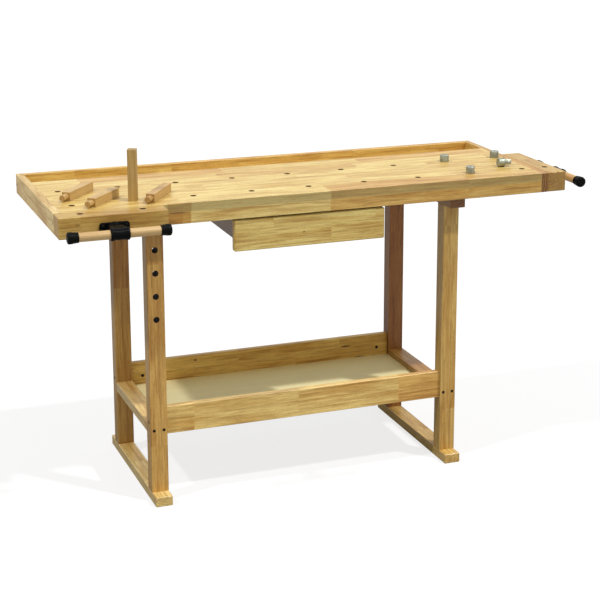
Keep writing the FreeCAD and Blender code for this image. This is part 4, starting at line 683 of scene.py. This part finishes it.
def handle_caps(name, place, material):
    """Two rubber caps, each with a flared mouth, three grip ribs and a rounded end."""
    build = bmesh.new()
    low, high = (Vector(corner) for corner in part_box(f"{name}_handle_caps"))
    along = place.col[0].xyz
    middle = ((low + high) / 2 - place.translation).dot(along) / MM
    half = abs((high - low).dot(along)) / 2 / MM
    outline = rounded((
        (0, CAP_LENGTH - CAP_SOLID_END, 0), (12.1, CAP_LENGTH - CAP_SOLID_END, 0.6), (12.1, 0, 0.4),
        (13.9, 0, 0.9), (14.1, 3.4, 0.8), (13.3, 4.6, 0.5), (13.3, 6.2, 0.5), (14.5, 7.4, 0.8),
        (14.6, 10.4, 0.8), (13.9, 11.6, 0.5), (14.0, 13.0, 0.5), (15.2, 14.4, 0.9),
        (15.5, CAP_LENGTH - 5.5, 0), (15.2, CAP_LENGTH - 2.6, 1.5), (12.4, CAP_LENGTH - 0.3, 2.0),
        (8.0, CAP_LENGTH, 1.0), (0, CAP_LENGTH, 0)), steps=3)
    for side in (-1, 1):
        mouth = set_at(place, middle + side * (half - CAP_LENGTH), 0, JAW_THICKNESS + HANDLE_STANDOFF)
        facing = ALONG_X if side > 0 else Matrix.Rotation(math.pi, 4, "Y") @ ALONG_X
        lathe(build, outline, mouth @ facing, closed=False)
    stand_for(f"{name}_handle_caps", f"{name}_rubber_caps", mesh_of(build), material)


for name, out, steel in (("front_vise", -Y, front_steel), ("tail_vise", X, tail_steel)):
    place = vise_frame(name, out)
    vise_screw(name, place, steel)
    vise_hub(name, place, enamel)
    vise_bracket(name, place, enamel)
    handle_caps(name, place, rubber)


# -------------------------------- bench dogs

HEAD_RADIUS, HEAD_HEIGHT = 13.5, 20.0         # mm, as are all lengths below
FLAT_AT, FLAT_FROM = 10.5, 1.65               # the ground flat: off the axis, and its foot
SHANK_RADIUS, SHANK_LENGTH = 8.2, 20.0
FLUTES, FLUTE_DEPTH = 9, 1.5


def bench_dog(node, place, material):
    """A turned dog: a head with one ground flat and crisp chamfers, on a shank with lengthwise flutes."""
    build = bmesh.new()
    lathe(build, rounded((
        (0, 0, 0), (HEAD_RADIUS - 0.8, 0, 0.2), (HEAD_RADIUS, 0.8, 0.2), (HEAD_RADIUS, 1.6, 0),
        (HEAD_RADIUS, 1.7, 0), (HEAD_RADIUS, HEAD_HEIGHT - 1, 0.3), (HEAD_RADIUS - 1, HEAD_HEIGHT, 0.3),
        (4, HEAD_HEIGHT, 0.2), (3.2, HEAD_HEIGHT - 0.6, 0.2), (0, HEAD_HEIGHT - 0.9, 0)), steps=2),
        Matrix.Identity(4), closed=False, segments=72)
    for vertex in build.verts:
        if vertex.co.z > FLAT_FROM * MM:
            vertex.co.x = min(vertex.co.x, FLAT_AT * MM)
    count = FLUTES * 10
    levels = ((-SHANK_LENGTH, 0.86, 0.2), (-SHANK_LENGTH + 1.2, 1.0, 1.0), (-3.0, 1.0, 1.0),
              (-2.2, 0.84, 0.0), (0.4, 0.84, 0.0))
    rings = []
    for height, width, fluted in levels:
        ring = []
        for step in range(count):
            angle = math.tau * step / count
            groove = max(0.0, math.cos(angle * FLUTES)) ** 0.6 * FLUTE_DEPTH * fluted
            radius = SHANK_RADIUS * width - groove
            ring.append(build.verts.new(round_axis(radius, angle, height) * MM))
        rings.append(ring)
    for ring, following in zip(rings, rings[1:]):
        for step in range(count):
            after = (step + 1) % count
            build.faces.new((ring[step], ring[after], following[after], following[step]))
    build.faces.new(list(reversed(rings[0])))
    build.faces.new(rings[-1])
    build.transform(place)
    stand_for(node, f"turned_{node}", mesh_of(build), material, sharp=28)


WORKTOP = 860.0
for node, x, y, z, turn in (
        ("dog_one", 441.0, 55.5, WORKTOP, turned("Z", 0)),
        ("dog_two", 441.0, -121.5, WORKTOP, turned("Z", -35)),
        ("dog_three", 607.0, 55.5, WORKTOP, turned("Z", -10)),
        ("dog_four", 573.0, -74.5, WORKTOP + HEAD_RADIUS + 0.3,
         turned("Z", 175) @ turned("Y", 90) @ turned("Z", 200))):
    bench_dog(node, set_at(Matrix.Identity(4), x, y, z) @ turn, zinc)


# -------------------------------- fasteners

SAME_POINT, SAME_LEVEL, SAME_WIDTH = 1e-6, 1e-5, 1e-9        # m, m and square metres


def solids_of(node):
    """The separate solids of a CAD node, each as a list of its points."""
    build = bmesh.new()
    build.from_mesh(nodes[node].data)
    bmesh.ops.remove_doubles(build, verts=build.verts, dist=SAME_POINT)
    # A dict keeps its order, so that every run gives the same mesh; a set's order follows memory.
    waiting, solids = dict.fromkeys(build.verts), []
    while waiting:
        reached = [waiting.popitem()[0]]
        for vertex in reached:
            for edge in vertex.link_edges:
                other = edge.other_vert(vertex)
                if other in waiting:
                    del waiting[other]
                    reached.append(other)
        solids.append([vertex.co.copy() for vertex in reached])
    build.free()
    return solids


def head_of(points):
    """The middle of the outer face of a fastener's head, and the way that face looks."""
    low = Vector([min(point[axis] for point in points) for axis in range(3)])
    high = Vector([max(point[axis] for point in points) for axis in range(3)])
    length = high - low
    axis = max(range(3), key=lambda index: length[index])
    middle = (low + high) / 2
    ends = []
    for level in (low[axis], high[axis]):
        face = [point for point in points if abs(point[axis] - level) < SAME_LEVEL]
        width = max((point - middle).length_squared - (level - middle[axis]) ** 2 for point in face)
        ends.append((width, level))
    if abs(ends[0][0] - ends[1][0]) < SAME_WIDTH:
        level = min(ends, key=lambda end: abs(end[1]))[1]
    else:
        level = max(ends)[1]
    way = Vector()
    way[axis] = 1.0 if level > middle[axis] else -1.0
    face_middle = middle.copy()
    face_middle[axis] = level
    return face_middle, way


WOOD_SCREW = {"Head Radius": 4.5, "Head Crown": 4.3, "Head Height": 4, "Shank Radius": 2.5,
              "Shank Length": 66, "Recess Radius": 2.6, "Recess Waist": 0.8, "Recess Depth": 1.8}
SOCKET_BOLT = {"Head Radius": 5.5, "Head Crown": 5.2, "Head Height": 5, "Shank Radius": 3.5,
               "Shank Length": 85, "Recess Radius": 2.9, "Recess Waist": 2.9, "Recess Depth": 2.6}
BARREL_NUT = {"Head Radius": 5, "Head Crown": 5, "Head Height": 14, "Shank Radius": 3, "Shank Length": 0.5,
              "Recess Radius": 4.4, "Recess Waist": 0.5, "Recess Depth": 1.2}
PAN_SCREW = {"Head Radius": 4, "Head Crown": 2.9, "Head Height": 2.5, "Shank Radius": 2.2, "Shank Length": 29,
             "Recess Radius": 2.1, "Recess Waist": 0.6, "Recess Depth": 1.4}
CROSS, HEXAGON, SLOT = 4, 3, 2        # points of the star that the recess is cut with
SHANK_SINK = 0.9                      # share of the head's height that the shank starts below its face


def fastener_tree():
    """Sets one headed screw on every point, its head looking the point's way, with a driver recess."""
    tree = bpy.data.node_groups.new("fasteners", "GeometryNodeTree")
    for label, kind in (("Points", "Geometry"), *((size, "Float") for size in WOOD_SCREW),
                        ("Recess Points", "Int"), ("Finish", "Material")):
        tree.interface.new_socket(label, in_out="INPUT", socket_type="NodeSocket" + kind)
    tree.interface.new_socket("Geometry", in_out="OUTPUT", socket_type="NodeSocketGeometry")
    given = add(tree, "NodeGroupInput").outputs
    heights = {}
    for label, size, factor in (("head", "Head Height", -1.0), ("recess", "Recess Depth", -1.0),
                                ("neck", "Head Height", SHANK_SINK), ("shank", "Shank Length", -0.5)):
        heights[label] = add(tree, "ShaderNodeMath", (given[size], factor), operation="MULTIPLY")
    heights["below"] = add(tree, "ShaderNodeMath", (heights["shank"], heights["neck"]), operation="SUBTRACT")
    heights["above"] = given["Recess Depth"]
    up = {label: add(tree, "ShaderNodeCombineXYZ", (0.0, 0.0, height)) for label, height in heights.items()}

    head = add(tree, "GeometryNodeMeshCone", {"Vertices": 40, "Radius Top": given["Head Crown"],
                                              "Radius Bottom": given["Head Radius"],
                                              "Depth": given["Head Height"]})
    head = add(tree, "GeometryNodeTransform", {"Geometry": head, "Translation": up["head"]})
    star = add(tree, "GeometryNodeCurveStar", {"Points": given["Recess Points"],
                                               "Inner Radius": given["Recess Waist"],
                                               "Outer Radius": given["Recess Radius"]})
    line = add(tree, "GeometryNodeCurvePrimitiveLine", {"Start": up["recess"], "End": up["above"]})
    recess = add(tree, "GeometryNodeCurveToMesh", {"Curve": line, "Profile Curve": star, "Fill Caps": True})
    cut = add(tree, "GeometryNodeMeshBoolean", {"Mesh 1": head, "Mesh 2": recess},
              operation="DIFFERENCE", solver="EXACT")
    shank = add(tree, "GeometryNodeMeshCylinder", {"Vertices": 20, "Radius": given["Shank Radius"],
                                                   "Depth": given["Shank Length"]})
    shank = add(tree, "GeometryNodeTransform", {"Geometry": shank, "Translation": up["below"]})
    whole = add(tree, "GeometryNodeJoinGeometry", (cut,))
    tree.links.new(shank.outputs[0], whole.inputs[0])
    way = add(tree, "GeometryNodeInputNamedAttribute", {"Name": "way"}, data_type="FLOAT_VECTOR")
    turn = add(tree, "FunctionNodeAlignRotationToVector", {"Vector": way}, axis="Z")
    placed = add(tree, "GeometryNodeInstanceOnPoints", {"Points": given["Points"], "Instance": whole,
                                                        "Rotation": turn})
    real = add(tree, "GeometryNodeRealizeInstances", {"Geometry": placed})
    finished = add(tree, "GeometryNodeSetMaterial", {"Geometry": real, "Material": given["Finish"]})
    add(tree, "NodeGroupOutput", {"Geometry": finished})
    return tree


def set_fasteners(tree, node, name, material, sizes, recess_points):
    """Stand detailed screws where the CAD node has plain ones."""
    heads = [head_of(points) for points in solids_of(node)]
    mesh = bpy.data.meshes.new(name)
    mesh.from_pydata([middle for middle, way in heads], [], [])
    ways = mesh.attributes.new("way", "FLOAT_VECTOR", "POINT")
    for item, (middle, way) in zip(ways.data, heads):
        item.vector = way
    holder = new_object(name, mesh)
    modifier = holder.modifiers.new("fasteners", "NODES")
    modifier.node_group = tree
    identifiers = {item.name: item.identifier for item in tree.interface.items_tree if item.in_out == "INPUT"}
    for label, value in sizes.items():
        modifier[identifiers[label]] = value * MM
    modifier[identifiers["Recess Points"]] = recess_points
    modifier[identifiers["Finish"]] = material
    stand_for(node, name, evaluated(holder), material, sharp=30)


fasteners = fastener_tree()
for node, name, sizes, recess_points in (
        ("trestle_screws", "trestle_cross_screws", WOOD_SCREW, CROSS),
        ("top_screws", "top_cross_screws", WOOD_SCREW, CROSS),
        ("end_board_screws", "end_board_cross_screws", WOOD_SCREW, CROSS),
        ("rail_bolts", "rail_socket_bolts", SOCKET_BOLT, HEXAGON),
        ("rail_barrel_nuts", "rail_slotted_barrel_nuts", BARREL_NUT, SLOT),
        ("front_vise_bracket_screws", "front_vise_pan_screws", PAN_SCREW, CROSS),
        ("tail_vise_bracket_screws", "tail_vise_pan_screws", PAN_SCREW, CROSS)):
    set_fasteners(fasteners, node, name, oxide, sizes, recess_points)


# -------------------------------- studio

FLOOR_GLOW = 0.75            # share of plain white in what the camera sees of the floor
FLOOR_BOUNCE = "#A8A8A8"     # what the floor throws back on the bench
FLOOR_REACH = 30.0           # m
WORLD_LIGHT = 0.46
WHITE = linear("#FFFFFF")


def studio_floor():
    """A large pale floor that reads as white paper and keeps a soft shadow."""
    material, tree = new_material("white_paper_floor")
    to_camera = add(tree, "ShaderNodeLightPath").outputs["Is Camera Ray"]
    colour = add(tree, "ShaderNodeMix", {"Factor": to_camera, "A": linear(FLOOR_BOUNCE), "B": WHITE},
                 data_type="RGBA")
    paper = add(tree, "ShaderNodeBsdfPrincipled", {"Base Color": colour, "Roughness": 0.9})
    glow = add(tree, "ShaderNodeEmission", {"Color": WHITE, "Strength": 1.0})
    seen = add(tree, "ShaderNodeMath", (to_camera, FLOOR_GLOW), operation="MULTIPLY")
    mixed = add(tree, "ShaderNodeMixShader", (seen, paper, glow))
    add(tree, "ShaderNodeOutputMaterial", {"Surface": mixed})
    mesh = bpy.data.meshes.new("studio_floor")
    build = bmesh.new()
    bmesh.ops.create_grid(build, x_segments=1, y_segments=1, size=FLOOR_REACH)
    build.to_mesh(mesh)
    build.free()
    mesh.materials.append(material)
    new_object("studio_floor", mesh)


def studio_world():
    """White where the camera, a reflection or glass looks at it, and a plain soft light elsewhere."""
    world = bpy.data.worlds.new("studio")
    bpy.context.scene.world = world
    world.use_nodes = True
    tree = world.node_tree
    tree.nodes.clear()
    rays = add(tree, "ShaderNodeLightPath").outputs
    seen = rays["Is Camera Ray"]
    for ray in ("Is Glossy Ray", "Is Transmission Ray"):
        seen = add(tree, "ShaderNodeMath", (seen, rays[ray]), operation="ADD", use_clamp=True)
    strength = add(tree, "ShaderNodeMapRange", (seen, 0.0, 1.0, WORLD_LIGHT, 1.0))
    backdrop = add(tree, "ShaderNodeBackground", {"Color": WHITE, "Strength": strength})
    add(tree, "ShaderNodeOutputWorld", {"Surface": backdrop})


def soft_sun(name, heading, elevation, energy, spread):
    """A broad lamp whose light travels along a heading, at an elevation in degrees."""
    lamp = bpy.data.lights.new(name, "SUN")
    lamp.energy = energy
    lamp.angle = math.radians(spread)
    slope = math.radians(elevation)
    way = Vector((*heading, 0)).normalized() * math.cos(slope) - Z * math.sin(slope)
    new_object(name, lamp).rotation_euler = way.to_track_quat("-Z", "Y").to_euler()


studio_floor()
studio_world()
soft_sun("right_key", (-0.685, 0.729), 56.6, 1.84, 2.5)
soft_sun("left_key", (0.96, 0.27), 53.0, 1.28, 2.5)


# -------------------------------- camera

IMAGE = 600.0                        # px, square
SENSOR = 36.0                        # mm
CAMERA_PLACE = Vector((-1.5693, -4.1776, 1.8225))
CAMERA_FOCAL = 1599.5                # px
CAMERA_SHIFT = (30.0, -80.0)         # px from the middle of the image to the optical axis, right and down
CAMERA_ANGLES = (21.237, 13.747, 0.118)       # degrees: turned to the right, looking down, and rolled

yaw, pitch, roll = (math.radians(angle) for angle in CAMERA_ANGLES)
forward = Vector((math.sin(yaw) * math.cos(pitch), math.cos(yaw) * math.cos(pitch), -math.sin(pitch)))
level = Vector((math.cos(yaw), -math.sin(yaw), 0))
above = level.cross(forward)
right = level * math.cos(roll) + above * math.sin(roll)
up = above * math.cos(roll) - level * math.sin(roll)
lens = bpy.data.cameras.new("camera")
lens.sensor_width = SENSOR
lens.lens = CAMERA_FOCAL / IMAGE * SENSOR
lens.shift_x = -CAMERA_SHIFT[0] / IMAGE
lens.shift_y = CAMERA_SHIFT[1] / IMAGE
camera = new_object("camera", lens)
camera.matrix_world = Matrix.Translation(CAMERA_PLACE) @ Matrix((right, up, -forward)).transposed().to_4x4()
bpy.context.scene.camera = camera
bpy.context.scene.view_settings.view_transform = "Standard"
